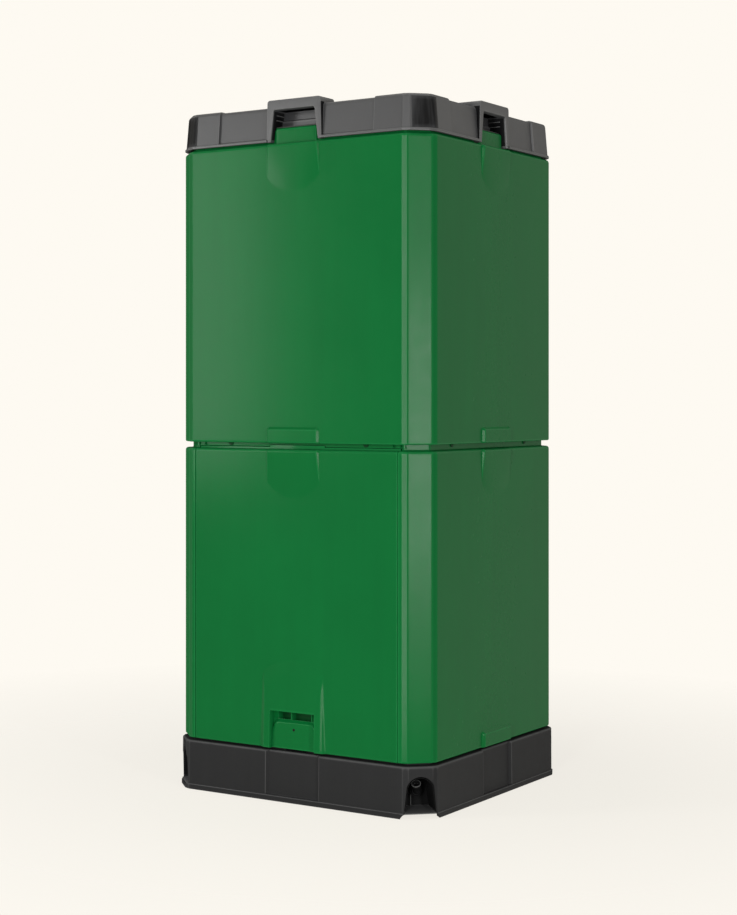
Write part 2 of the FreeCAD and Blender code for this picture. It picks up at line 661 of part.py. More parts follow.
def vented_length(name, bottom, top):
    """A square tube with rows of vents through all four sides."""
    bore_leg = column_leg - column_wall * OUTLINE_LEG_SHRINK
    body = column(f"{name}_body", column_half, column_leg, small_round, bottom, top)
    bore = column(f"{name}_bore", column_half - column_wall, bore_leg, small_round, bottom - OVER, top + OVER)
    tube = cut(f"{name}_tube", body, bore)
    rows = int((top.value - bottom.value) // vent_pitch.value) - 1
    vents = []
    for row in range(rows):
        low = bottom + vent_pitch * (row + 1)
        for label, x, y in (("x", column_half + OVER, vent_half), ("y", vent_half, column_half + OVER)):
            vents.append(block(f"{name}_vent_{label}{row}", both(x), both(y), (low, low + vent_height)))
    return cut(name, tube, *vents)


# Aeration column: two vented lengths, a coupler and a cap, standing on the grate round the chimney
node("aeration_column_lower", vented_length("column_lower", grate_top, column_joint))
node("aeration_column_upper", vented_length("column_upper", column_joint, column_top))
cap_rim = column_top + 6
cap_edge = column("cap_edge", column_half + 3, column_leg, small_round, column_top, cap_rim)
fit_half = column_half - column_wall - 0.5
cap_roof = column("cap_roof", column_half + 2, column_leg, None, cap_rim, cap_rim + 10, taper=cap_slope)
cap_plug = column("cap_plug", fit_half, column_leg, small_round, column_top - 14, column_top + 1)
node("aeration_column_cap", fuse("cap", cap_edge, cap_roof, cap_plug))
coupler_low = column_joint - 15
coupler_high = column_joint + 15
node("column_coupler", cut(
    "coupler", column("coupler_body", fit_half, column_leg, small_round, coupler_low, coupler_high),
    column("coupler_bore", fit_half - OVER, column_leg - OVER * OUTLINE_LEG_SHRINK, small_round,
           coupler_low - OVER, coupler_high + OVER)))

# Gaskets between the stacked rings
lower_neck_top = lower_top + neck_rise
upper_neck_top = upper_top + neck_rise
lower_seat = base_neck_top + gasket
upper_seat = lower_neck_top + gasket
node("base_gasket", tier_ring("base_ring", neck_inset + 1, liner_inset - OVER, base_neck_top, lower_seat))
node("tier_gasket", tier_ring("tier_ring", neck_inset + 1, liner_inset - OVER, lower_neck_top, upper_seat))

# Lower tier: shell with the door opening and its jambs
peg_plane = tier_half - neck_inset
pegs = []
peg_holes = []
for label, place in (("right", peg_offset), ("left", -peg_offset)):
    start = (place, -(peg_plane + peg_proud), peg_height)
    one_peg = rod(f"peg_{label}", (0, 1, 0), start, skin + 1, peg_radius - fastener_gap)
    one_hole = rod(f"peg_hole_{label}", (0, 1, 0), start, skin * 2, peg_radius)
    pegs += turned(one_peg, FRONT_TO_SIDES)
    peg_holes += turned(one_hole, FRONT_TO_SIDES)
neck_slots = []
for number, place in enumerate((-neck_slot_far, -neck_slot_near, neck_slot_near, neck_slot_far)):
    slot = block(f"neck_slot{number}", (place - neck_slot_half, place + neck_slot_half),
                 (-(peg_plane + OVER), -(peg_plane - skin * 3)), (lower_top + 1, upper_bottom))
    neck_slots += turned(slot, FRONT_TO_SIDES)
lower_tongue = tongue_pad("lower_tongue", lower_top)
lower_foot_pad = foot_pad("lower_foot_pad", lower_bottom)
lower_hollow = hollow_tier("lower", lower_bottom, lower_top,
                           turned(lower_tongue, DOOR_SIDES) + turned(lower_foot_pad, DOOR_SIDES))
chamber_half = tier_half - liner_inset
door_opening = block("door_opening", both(seam_half), (-(tier_half + FAR), -(chamber_half - FAR)),
                     (lower_bottom - OVER, header_bottom))
hinge_y = -(tier_half - hinge_depth)
hinge_z = lower_top - hinge_drop
jambs = []
for side, x in (("right", (seam_half, seam_half + skin)), ("left", (-(seam_half + skin), -seam_half))):
    jambs.append(block(f"jamb_foot_{side}", x, (-(tier_half - 1), hinge_y),
                       (lower_bottom + skin / 2, lower_seat + 1)))
    jambs.append(block(f"jamb_{side}", x, (-(tier_half - 1), -chamber_half),
                       (lower_seat + hair, lower_top - 1)))
tongue_room = block("tongue_room", both(pad_half + OVER), (-(peg_plane + OVER), -(peg_plane - skin - OVER)),
                    (header_bottom - 1, header_bottom + skin))
jamb_hole = bar("jamb_hole", (-(seam_half + skin * 2), hinge_y, hinge_z), (seam_half + skin * 2) * 2,
                pin_radius + foam_gap)
lower_framed = fuse("lower_framed", cut("lower_open", lower_hollow, door_opening), *jambs)
node("lower_shell", cut("lower_drilled", lower_framed, jamb_hole, tongue_room, *peg_holes, *neck_slots))
node("tier_pegs", group("peg_set", pegs))
header_half = seam_half - 1
node("door_header", block("header", both(header_half),
                          (-(peg_plane - skin - foam_gap), -(chamber_half + foam_gap)),
                          (header_bottom + foam_gap, lower_neck_top - skin)))
liner_opening = block("liner_opening", both(seam_half + skin + foam_gap),
                      (-(tier_half + OVER), -(chamber_half - FAR)), (lower_bottom, lower_neck_top + OVER))
lower_inner = tier_liner("lower_inner", lower_seat, lower_neck_top - skin)
node("lower_liner", cut("lower_liner_open", lower_inner, liner_opening))
lower_board = insulation("lower_board", lower_seat + skin + foam_gap, lower_top - skin - foam_gap)
for copy, side in zip(turned(lower_board, DOOR_SIDES), DOOR_SIDES):
    node(f"lower_insulation_{SIDE_NAMES[side]}", copy)
bush_far = seam_half + skin + bush_length
for label, x in (("right", (seam_half + skin, bush_far)), ("left", (-bush_far, -(seam_half + skin)))):
    stock = block(f"bush_{label}", x, (hinge_y - pin_radius - 1.5, hinge_y + pin_radius + skin),
                  (hinge_z - pin_radius - skin, hinge_z + pin_radius + skin))
    bore = bar(f"bush_bore_{label}", (x[0] - OVER, hinge_y, hinge_z), bush_length + OVER * 2,
               pin_radius + running_gap)
    node(f"hinge_bush_{label}", cut(f"bush_{label}_bored", stock, bore))

# Upper tier: one ring with tabs that stand in the lid's pockets
upper_tongue = tongue_pad("upper_tongue", upper_top)
upper_foot_pad = foot_pad("upper_foot_pad", upper_bottom)
tab_foot = upper_top - 1
tab = prism("tab", "XZ_Plane", peg_plane - small_round,
            [(tab_half, tab_foot), (tab_half, tab_top), (-tab_half, tab_top), (-tab_half, tab_foot)],
            tab_proud + small_round)
round_edges(tab, pad_round, along_front(tab_top - 1))
upper_raised = (turned(upper_tongue, FRONT_TO_SIDES) + turned(upper_foot_pad, FRONT_TO_SIDES)
                + turned(tab, FRONT_TO_SIDES))
node("upper_shell", hollow_tier("upper", upper_bottom, upper_top, upper_raised))
node("upper_liner", tier_liner("upper_inner", upper_seat, upper_neck_top - skin))
upper_board = insulation("upper_board", upper_seat + skin + foam_gap, upper_top - skin - foam_gap)
for copy, side in zip(turned(upper_board, FRONT_TO_SIDES), FRONT_TO_SIDES):
    node(f"upper_insulation_{SIDE_NAMES[side]}", copy)

# Door: outer skin with the latch boss, inner plate, insulation, seal and hinge pins
door_half = seam_half - door_gap
door_back = tier_half - door_depth
door_joint = door_back + skin
door_inner_bottom = base_neck_top + skin
door_stock = prism("door_stock", "YZ_Plane", -door_half,
                   [(-tier_half, lower_bottom), (-(tier_half - door_skirt), lower_bottom),
                    (-(tier_half - door_skirt), door_inner_bottom), (-door_joint, door_inner_bottom),
                    (-door_joint, lower_top), (-tier_half, lower_top)], door_half * 2)


def at_front(height):
    """A test for the door's front edge at a height."""
    return lambda edge: all(abs(corner.Z - height.value) < 0.01 and abs(corner.Y + tier_half.value) < 0.01
                            for corner in edge.Vertexes)


round_edges(door_stock, shoulder_round, at_front(lower_top))
round_edges(door_stock, hem_round, at_front(lower_bottom))
core_half = door_half - door_flange
core_low = door_inner_bottom + door_flange
core_high = lower_top - door_flange
door_core = block("door_core", both(core_half), (-(tier_half - skin), -(door_joint - OVER)),
                  (core_low, core_high))
latch_side = well_half + latch_cheek
latch_block = block("latch_block", both(latch_side), (-(tier_half - skin / 2), -door_joint),
                    (door_inner_bottom, well_top + latch_cheek))
boss = tapered("boss",
               [(boss_half_bottom, lower_bottom), (boss_half_top, boss_shoulder),
                (-boss_half_top, boss_shoulder, boss_arc), (-boss_half_bottom, lower_bottom)],
               tier_half, boss_proud, (lower_bottom, boss_proud), (boss_top, 0), boss_half_bottom + OVER)
door_tongue = tongue_pad("door_tongue", lower_top)
door_raised = fuse("door_raised", cut("door_tray", door_stock, door_core), latch_block, boss, door_tongue)
latch_front = -(tier_half - latch_recess)
latch_back = latch_front + latch_wall
latch_y = latch_front + latch_wall / 2
well = block("well", both(well_half), (-(tier_half + FAR), -(tier_half - well_floor)),
             (lower_bottom - OVER, well_top))
finger_hollow = block("finger_hollow", both(slot_half), (latch_front, -(tier_half - slot_depth)),
                      (slot_bottom, well_top))
nose_notch = block("nose_notch", both(nose_half + OVER), (-tier_half, -(tier_half - door_skirt - OVER)),
                   (lower_bottom - OVER, latch_axis_height + door_skirt / 2))
pin_start = core_half + OVER
pin_end = bush_far - foam_gap
door_pin_bore = bar("door_pin_bore", (-(door_half + OVER), hinge_y, hinge_z), (door_half + OVER) * 2,
                    pin_radius + fastener_gap)
bore_half = latch_side - 1
latch_bore = bar("latch_bore", (-bore_half, latch_y, latch_axis_height), bore_half * 2,
                 latch_pin_radius + fastener_gap)
door_screws = []
door_screw_holes = []
door_screw_place = core_half + screw_head
for row in DOOR_SCREW_ROWS:
    for label, place in (("right", door_screw_place), ("left", -door_screw_place)):
        seat = (place, -door_back, row)
        door_screws.append(screw(f"door_screw_{label}{row}", (0, 1, 0), seat, skin * 4))
        door_screw_holes.append(screw_hole(f"door_screw_hole_{label}{row}", (0, 1, 0), seat, skin * 4))
node("door_panel", cut("door_finished", door_raised, well, finger_hollow, nose_notch, door_pin_bore,
                       latch_bore, *door_screw_holes))
door_plate = block("door_plate", both(door_half), (-door_joint, -door_back), (door_inner_bottom, lower_top))
node("door_liner", cut("door_plate_drilled", door_plate, *door_screw_holes))
foam_half = core_half - foam_gap
door_foam = block("door_foam", both(foam_half), (-(tier_half - skin - foam_gap), -(door_joint + foam_gap)),
                  (core_low + foam_gap, core_high - foam_gap))
foam_notch = block("foam_notch", both(latch_side + foam_gap), (-tier_half, -door_back),
                   (lower_bottom, well_top + latch_cheek + foam_gap))
node("door_insulation", cut("door_foam_notched", door_foam, foam_notch))
seal_outer = block("seal_outer", both(door_half - 1), (-door_back, -(door_back - gasket)),
                   (door_inner_bottom + 1, lower_top - 1))
seal_wide = gasket * 1.5
seal_inner = block("seal_inner", both(door_half - 1 - seal_wide),
                   (-(door_back + OVER), -(door_back - gasket - OVER)),
                   (door_inner_bottom + 1 + seal_wide, lower_top - 1 - seal_wide))
node("door_seal", cut("door_seal_frame", seal_outer, seal_inner))
node("door_screws", group("door_screw_set", door_screws))
for label, x in (("right", pin_start), ("left", -pin_end)):
    pin = bar(f"hinge_rod_{label}", (x, hinge_y, hinge_z), pin_end - pin_start, pin_radius)
    node(f"hinge_pin_{label}", pin)
latch_pin_half = latch_side - OVER
node("latch_pin", bar("latch_rod", (-latch_pin_half, latch_y, latch_axis_height), latch_pin_half * 2,
                      latch_pin_radius))

# Latch tongue in the boss: fingers behind its top pull it outward and it turns on the pin near its foot
latch_half = well_half - latch_gap
latch_stock = prism("latch_stock", "YZ_Plane", -latch_half,
                    [(latch_back, latch_axis_height, latch_wall / 2 + hair), (latch_back, latch_top),
                     (latch_front + latch_round, latch_top),
                     (latch_front, latch_top - latch_round, latch_round),
                     (latch_front, latch_axis_height)], latch_half * 2)
nose = [block(f"nose_{side}", x, (latch_back - 1, -(tier_half - nose_reach)),
              (latch_axis_height - skin, latch_axis_height + 3))
        for side, x in (("right", (coil_half * 2, nose_half)), ("left", (-nose_half, -coil_half * 2)))]
coil_room = block("coil_room", both(coil_half + 1), (latch_front - OVER, latch_back + OVER),
                  (latch_axis_height - skin * 2, latch_axis_height + coil_radius + 1))
latch_turning = bar("latch_turning", (-(latch_half + OVER), latch_y, latch_axis_height),
                    (latch_half + OVER) * 2, latch_pin_radius + running_gap)
rivet_hole = rod("rivet_hole", (0, 1, 0), (0, latch_front - OVER, rivet_height), latch_wall + OVER * 2,
                 rivet_radius + fastener_gap)
latch_solid = fuse("latch_solid", latch_stock, *nose)
node("latch_tongue", cut("latch", latch_solid, latch_turning, coil_room, rivet_hole))
rivet_head = rivet_radius * 1.5
rivet_shank = rod("rivet_shank", (0, 1, 0), (0, latch_front + hair, rivet_height), latch_wall - hair,
                  rivet_radius)
rivet_button = rod("rivet_button", (0, 1, 0), (0, latch_back, rivet_height), wire_radius * 2, rivet_head)
node("latch_rivet", fuse("rivet", rivet_shank, rivet_button))
coil_inside = coil_half + OVER
coil = cut("coil", bar("coil_outer", (-coil_half, latch_y, latch_axis_height), coil_half * 2, coil_radius),
           bar("coil_inner", (-coil_inside, latch_y, latch_axis_height), coil_inside * 2,
               latch_pin_radius + hair))
leg_long = rivet_height - rivet_head - hair - latch_axis_height
spring_leg = rod("spring_leg", (0, 0, 1), (0, latch_back + wire_radius, latch_axis_height), leg_long,
                 wire_radius)
node("latch_spring", fuse("spring", coil, spring_leg))
keeper_front = latch_back - 1
keeper_lip = block("keeper_lip", both(nose_half), (keeper_front, keeper_front + OVER), (base_top, keeper_top))
keeper_foot = block("keeper_foot", both(nose_half), (keeper_front, -(peg_plane + foam_gap)),
                    (base_top, base_top + OVER))
node("latch_keeper", fuse("keeper", keeper_lip, keeper_foot))

# Lid: drafted walls on a lip, a bridge handle over a finger pocket in the middle of each side
lid_draft = Size(math.tan(math.radians(lid_taper.value)), f"tan({lid_taper.text} * 1 deg)")
lid_leg = tier_leg - (tier_half - lid_half) * OUTLINE_LEG_SHRINK
lid_outer = column("lid_outer", lid_half, lid_leg, corner_radius, lid_bottom, lid_top,
                   taper=lid_taper, round_top=lid_round)
lid_crown = column("lid_crown", crown_half, tier_leg, None, lid_top - 1, crown_top, taper=crown_slope)
mid_foot = lid_bottom + lip_height
lid_lip = tier_column("lid_lip", tier_half - lip_half, lid_bottom, mid_foot, round_top=small_round)
mid_plane = lid_half - mid_recess
mid_panel = prism("mid_panel", "YZ_Plane", -mid_half,
                  [(-(tier_half + FAR), mid_foot), (-(mid_plane - lip_height * lid_draft), mid_foot),
                   (-(mid_plane - (lid_top - lid_bottom) * lid_draft), lid_top + OVER),
                   (-(tier_half + FAR), lid_top + OVER)], mid_half * 2)
mid_step = block("mid_step", both(mid_half), (-tier_half, -bridge_back), (lid_top - OVER, lid_top + OVER))
bridge = prism("bridge", "XZ_Plane", bridge_back,
               [(bridge_half, lid_bottom), (bridge_half - 2, bridge_top), (-(bridge_half - 2), bridge_top),
                (-bridge_half, lid_bottom)], bridge_front - bridge_back)
round_edges(bridge, bridge_round, along_front(bridge_top - 1))
arch = prism("arch", "XZ_Plane", pocket_back,
             [(arch_half_bottom, lid_bottom - OVER), (arch_half_top, arch_top), (-arch_half_top, arch_top),
              (-arch_half_bottom, lid_bottom - OVER)], bridge_front - pocket_back + OVER)
round_edges(arch, small_round * 2, along_front(arch_top - 1))
lid_roof_inside = lid_top - lid_wall + 1
inside_leg = lid_leg - lid_wall * OUTLINE_LEG_SHRINK
lid_inside = column("lid_inside", lid_half - lid_wall, inside_leg, corner_radius - lid_wall,
                    lid_bottom - OVER, lid_roof_inside, taper=lid_taper)
pocket_block = block("pocket_block", both(bridge_half), (-(tier_half + FAR), -(pocket_back - skin)),
                     (pocket_floor, bridge_top))
lid_cavity = cut("lid_cavity", lid_inside, *turned(pocket_block, FRONT_TO_SIDES))
corner_face = (lid_half * 2 - lid_leg) / math.sqrt(2) - facet_sink
facet = prism("facet", "XZ_Plane", -facet_half,
              [(corner_face - (facet_bottom - lid_bottom) * lid_draft, facet_bottom),
               (corner_face + FAR, facet_bottom), (corner_face + FAR, facet_top),
               (corner_face - (facet_top - lid_bottom) * lid_draft, facet_top)], facet_half * 2)
lid_solid = fuse("lid_solid", cut("lid_stepped", lid_outer, *turned(mid_panel, FRONT_TO_SIDES),
                                  *turned(mid_step, FRONT_TO_SIDES), *turned(facet, CORNERS)),
                 lid_lip, lid_crown, *turned(bridge, FRONT_TO_SIDES))
plate_top = pocket_floor + lid_plate
post_long = lid_roof_inside - plate_top + 1
posts = []
post_holes = []
lid_screws = []
lid_screw_holes = []
lid_screw_long = lid_plate + skin * 4
up = (0, 0, 1)
down = (0, 0, -1)
for number, (x, y) in enumerate(POST_SIDES):
    place = (post_place * x, post_place * y)
    seat = (*place, pocket_floor)
    posts.append(rod(f"post{number}", up, (*place, plate_top), post_long, post_radius))
    post_holes.append(rod(f"post_hole{number}", up, (*place, plate_top), post_long, post_radius + foam_gap))
    lid_screws.append(screw(f"lid_screw{number}", down, seat, lid_screw_long))
    lid_screw_holes.append(screw_hole(f"lid_screw_hole{number}", down, seat, lid_screw_long))
lid_hollow = cut("lid_hollow", lid_solid, lid_cavity, *turned(arch, FRONT_TO_SIDES))
node("lid_shell", cut("lid_drilled", fuse("lid_posted", lid_hollow, *posts), *lid_screw_holes))
notch = block("notch", both(bridge_half + 1), (-(tier_half + FAR), -(pocket_back - skin - 1)),
              (lid_bottom, bridge_top))
plate_notches = turned(notch, FRONT_TO_SIDES)
plate = tier_column("plate", neck_inset + 1, pocket_floor, plate_top)
node("lid_inner_plate", cut("plate_cut", plate, *plate_notches, *lid_screw_holes))
lid_foam = tier_column("lid_foam", neck_inset + OVER, plate_top + foam_gap, lid_roof_inside - foam_gap)
node("lid_insulation", cut("lid_foam_cut", lid_foam, *plate_notches, *post_holes))
seal_bottom = upper_neck_top + lid_seal_gap
node("lid_seal", tier_ring("lid_ring", neck_inset + 3, liner_inset - 3, seal_bottom, pocket_floor))
node("lid_screws", group("lid_screw_set", lid_screws))


def write_parts():
    """Check every object and write each sub-part to its own file."""
    doc.recompute()
    broken = [item.Name for item in doc.Objects if "Invalid" in item.State or "Error" in item.State]
    if broken:
        raise RuntimeError(f"objects failed: {broken}")
    for item in nodes:
        if item.Shape.isNull() or not item.Shape.isValid():
            raise RuntimeError(f"{item.Label} has no valid shape")
    os.makedirs("parts", exist_ok=True)
    for item in nodes:
        item.Shape.exportStep(f"parts/{item.Label}.step")
        print(item.Label, len(item.Shape.Solids), "solids", round(item.Shape.Volume / 1000, 1), "cm3")


write_parts()
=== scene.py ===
"""Dress for an insulated compost bin: moulded skins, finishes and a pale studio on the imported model."""

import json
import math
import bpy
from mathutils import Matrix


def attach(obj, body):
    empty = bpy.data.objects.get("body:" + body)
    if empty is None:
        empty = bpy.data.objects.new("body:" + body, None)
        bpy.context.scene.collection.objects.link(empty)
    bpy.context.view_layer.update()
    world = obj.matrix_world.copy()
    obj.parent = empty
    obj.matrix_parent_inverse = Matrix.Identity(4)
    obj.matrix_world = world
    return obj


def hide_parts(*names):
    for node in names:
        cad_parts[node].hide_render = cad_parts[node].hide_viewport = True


bl_info = {
    "name": "Compost bin dress",
    "version": (1, 0, 0),
    "blender": (4, 5, 0),
    "location": "View3D > Sidebar > Bin",
    "description": "Moulded skins, finishes and studio for an insulated compost bin",
    "category": "Object",
}

import bmesh
import bpy
import numpy as np
from bpy.props import FloatProperty, FloatVectorProperty, PointerProperty
from bpy.types import Operator, Panel, PropertyGroup

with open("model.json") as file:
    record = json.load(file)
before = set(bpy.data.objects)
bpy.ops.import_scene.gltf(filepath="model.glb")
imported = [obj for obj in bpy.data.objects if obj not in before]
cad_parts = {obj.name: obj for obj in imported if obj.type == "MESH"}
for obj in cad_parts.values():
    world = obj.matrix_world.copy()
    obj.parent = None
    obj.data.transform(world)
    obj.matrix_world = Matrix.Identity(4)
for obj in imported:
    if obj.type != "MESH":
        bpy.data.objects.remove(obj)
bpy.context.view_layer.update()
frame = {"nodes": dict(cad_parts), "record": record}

MM = 0.001

# A quarter of the right angle at each corner: half of what each rounded edge of the outline turns
QUARTER = math.radians(22.5)

# Edges that turn by more than this stay sharp
CREASE = math.radians(38)

# Distances in metres under which points are welded and slivers dissolved
WELD, SLIVER = 2e-6, 1e-6

# Outward bend per metre at which edges begin to be lightened, by rubbing and as a painted highlight, and the
# span over which they come to be fully so
LIGHTEN_FROM, LIGHTEN_SPAN = 25.0, 160.0

# Places of the bin in millimetres, from the ground up
PLINTH_TOP = 84.0
LOWER = (88.0, 589.5)
UPPER = (599.5, 1101.5)
LID = (1105.0, 1166.0)

# Height of a tier's neck over its shoulder, and the width of the rim that turns in at its top
NECK_TALL, RIM_WIDE = 25.0, 20.0


def length(name, text, value):
    """A size that a user may change, in metres."""
    return FloatProperty(name=name, description=text, default=value, unit="LENGTH", precision=4)


def colour(name, text, value):
    """A finish's colour that a user may change."""
    return FloatVectorProperty(name=name, description=text, default=value, subtype="COLOR", size=3, min=0,
                               max=1)


class BinSizes(PropertyGroup):
    """Sizes of the moulded skins."""

    tier_half: length("Tier half", "Half the width of a tier", 0.2495)
    corner_leg: length("Corner cut", "Leg of the cut at each corner", 0.037)
    corner_round: length("Corner round", "Radius of the two rounds of a corner", 0.019)
    skin: length("Skin", "Thickness of the moulded skin", 0.004)
    pad_half: length("Pad half", "Half the width of the raised pads at their foot", 0.052)
    pad_proud: length("Pad proud", "Height of the raised pads", 0.0048)
    boss_proud: length("Boss proud", "Height of the latch boss at its foot", 0.0054)
    neck_inset: length("Neck inset", "Step from a tier's face to its neck", 0.0135)


class BinColours(PropertyGroup):
    """Colours of the finishes."""

    green: colour("Green", "Tiers, door and latch", (0.0032, 0.131, 0.028))
    lid: colour("Lid grey", "Lid", (0.036, 0.0366, 0.0382))
    base: colour("Base grey", "Plinth", (0.0235, 0.0235, 0.024))
    inner: colour("Inner black", "Liners, tray, grate and column", (0.024, 0.024, 0.025))
    fitting: colour("Fitting black", "Drain fitting and pegs", (0.016, 0.016, 0.017))
    foam: colour("Foam", "Insulation boards", (0.74, 0.73, 0.69))
    rubber: colour("Rubber", "Seals and gaskets", (0.014, 0.014, 0.014))
    steel: colour("Steel", "Pins, screws and spring", (0.55, 0.55, 0.54))
    backdrop: colour("Backdrop", "Floor and background", (0.991, 0.956, 0.887))


# Grids and fields


def runs(*parts):
    """Grid lines: the even lines of every (start, end, count), sorted, with repeats dropped."""
    return np.unique(np.round(np.concatenate([np.linspace(*part) for part in parts]), 3))


def both_ways(lines):
    """Grid lines and the same lines mirrored about zero."""
    return np.unique(np.concatenate([-lines, lines]))


def ease(t):
    """A ramp from 0 to 1 with eased ends: 3 t squared minus 2 t cubed, t held between 0 and 1."""
    t = np.clip(t, 0.0, 1.0)
    return t * t * (3.0 - 2.0 * t)


def lesser(a, b, width):
    """The smaller of two fields, creases rounded: half of a + b - root((a - b) squared + width squared)."""
    return 0.5 * (a + b - np.sqrt((a - b) ** 2 + width * width))


def lifted(h, width):
    """A field held above zero with a rounded foot: half of h + root(h squared + width squared)."""
    return 0.5 * (h + np.sqrt(h * h + width * width))


def beyond(across, above):
    """How far places lie outside a corner: straight from its round, or by the nearer side; minus inside."""
    return np.hypot(np.maximum(across, 0), np.maximum(above, 0)) + np.minimum(np.maximum(across, above), 0)


# A hold line stands this far off an arc's end, if it then lies within this share of the side
HOLD, HOLD_SHARE = 0.5, 0.45


def rounded(corners, closed=True, steps=5):
    """A section through corners (a, b, radius): each corner becomes an arc tangent to both of its sides.

    The arc's points are the two tangent points turned into each other about the arc's centre, and a
    hold line stands a little off each end of the arc, so that the flats beside it shade flat.
    """
    spots = np.array([corner[:2] for corner in corners], float)
    count = len(spots)
    pieces = []
    for number, (_, _, radius) in enumerate(corners):
        here = spots[number]
        if radius == 0 or (not closed and number in (0, count - 1)):
            pieces.append(here[None])
            continue
        back = spots[number - 1] - here
        ahead = spots[(number + 1) % count] - here
        back_long = np.linalg.norm(back)
        ahead_long = np.linalg.norm(ahead)
        back = back / back_long
        ahead = ahead / ahead_long
        angle = math.acos(np.clip(back @ ahead, -1, 1))
        cut = radius / math.tan(angle / 2)
        middle = back + ahead
        centre = here + middle / np.linalg.norm(middle) * radius / math.sin(angle / 2)
        sweep = math.pi - angle
        t = np.linspace(0, 1, steps + 1)[:, None]
        arc = centre + (np.sin((1 - t) * sweep) * (here + back * cut - centre)
                        + np.sin(t * sweep) * (here + ahead * cut - centre)) / math.sin(sweep)
        if cut + HOLD < back_long * HOLD_SHARE:
            pieces.append((here + back * (cut + HOLD))[None])
        pieces.append(arc)
        if cut + HOLD < ahead_long * HOLD_SHARE:
            pieces.append((here + ahead * (cut + HOLD))[None])
    return np.concatenate(pieces)


# What a station of an outline lies on
FACE, ROUND, FLAT = range(3)

# Columns of a table of stations: what each lies on, its place along a line, and the number of its face
KIND, ALONG, NUMBER = 0, 2, 5


class Outline:
    """The bin from above: a square with cut corners whose eight edges are rounded.

    A station is a place along the outline. On a face or a corner flat, the point at an inset is the
    edge's line moved in by the inset; on a round it is the round's centre plus its radius along the
    normal, where the radius shrinks by the inset but stays over a least value. A round has a narrow
    flat in its middle, where the radius is that of a chord: its nearest distance over a cosine.
    """

    LEAST = 6.0
    CHORD = math.radians(13.5)

    def __init__(self, half, leg, radius):
        self.half = half
        self.leg = leg
        self.radius = radius
        self.side = half - leg - radius * math.tan(QUARTER)
        self.flat = leg / math.sqrt(2) - radius * math.tan(QUARTER)
        self.reach = (2 * half - leg) / math.sqrt(2)

    def face(self, number, along):
        """Stations along one face: 0 front, 1 right, 2 back, 3 left."""
        angle = math.radians(90 * number - 90)
        return np.stack(np.broadcast_arrays(FACE, angle, along, 0.0, 0.0, number), axis=-1)

    def corner(self, number):
        """Stations round the corner that follows a face: a round, the corner flat and a second round."""
        angle = math.radians(90 * number - 90)
        off = np.concatenate([np.linspace(-QUARTER, -self.CHORD, 6)[1:], (-0.9 * self.CHORD, 0.0)])
        off = both_ways(off)
        shrink = math.cos(self.CHORD) / np.cos(np.minimum(np.abs(off), self.CHORD)) - 1
        shrink = np.where(np.abs(off) < self.CHORD, shrink, 0)
        part = off + QUARTER
        flat = runs((-self.flat, self.flat, 5), (0.6 - self.flat, self.flat - 0.6, 2))
        diagonal = angle + math.pi / 4
        ahead = angle + math.pi / 2
        first = np.stack(np.broadcast_arrays(ROUND, angle + part, shrink, angle, 1.0, number), axis=-1)
        middle = np.stack(np.broadcast_arrays(FLAT, diagonal, flat, 0.0, 0.0, number), axis=-1)
        second = np.stack(np.broadcast_arrays(ROUND, diagonal + part, shrink, ahead, -1.0, number), axis=-1)
        return np.concatenate([first, middle, second])

    def ring(self, along):
        """Stations all the way round, with the same lines along each face."""
        return np.concatenate([part for number in range(4)
                               for part in (self.face(number, along), self.corner(number))])

    def place(self, stations, inset):
        """Points of the stations at an inset, which is an array (rows, 1) or (rows, stations)."""
        kind, turn, along, face_turn, hand = stations.T[:NUMBER]
        inset = np.asarray(inset, float)
        radius = np.maximum(self.radius - inset, self.LEAST)
        leg = self.leg - inset * (2 - math.sqrt(2))
        side = self.half - inset - leg - radius * math.tan(QUARTER)
        flat = leg / math.sqrt(2) - radius * math.tan(QUARTER)
        reach = np.where(kind == FLAT, self.reach, self.half) - inset
        bound = np.where(kind == FLAT, flat, side)
        slid = np.clip(along, -bound, bound)
        cos, sin = np.cos(turn), np.sin(turn)
        line_x = reach * cos - slid * sin
        line_y = reach * sin + slid * cos
        tip = hand * (self.half - self.leg)
        tip_x = self.half * np.cos(face_turn) - tip * np.sin(face_turn)
        tip_y = self.half * np.sin(face_turn) + tip * np.cos(face_turn)
        hub = face_turn + hand * QUARTER
        depth = (inset + radius) / math.cos(QUARTER)
        arm = radius * (1 + along)
        round_x = tip_x - depth * np.cos(hub) + arm * cos
        round_y = tip_y - depth * np.sin(hub) + arm * sin
        on_round = kind == ROUND
        return np.stack([np.where(on_round, round_x, line_x), np.where(on_round, round_y, line_y)], axis=-1)


def raise_rows(flat, z):
    """Points in plan (rows, columns, 2) with their heights (rows, 1) or (rows, columns) added."""
    tall = np.broadcast_to(np.asarray(z, float), flat.shape[:2])
    return np.concatenate([flat, tall[..., None]], axis=-1)


def turned(points, number):
    """Points turned about the upright axis by a number of quarter turns, from the front to another face."""
    angle = math.radians(90 * number)
    cos, sin = math.cos(angle), math.sin(angle)
    x, y, z = points[..., 0], points[..., 1], points[..., 2]
    return np.stack([x * cos - y * sin, x * sin + y * cos, z], axis=-1)


def cornered(along, across, z):
    """Points of the near corner's own axes: out along the diagonal, across it to the right, and up."""
    root = math.sqrt(0.5)
    return np.stack(np.broadcast_arrays((along + across) * root, (across - along) * root, z), axis=-1)


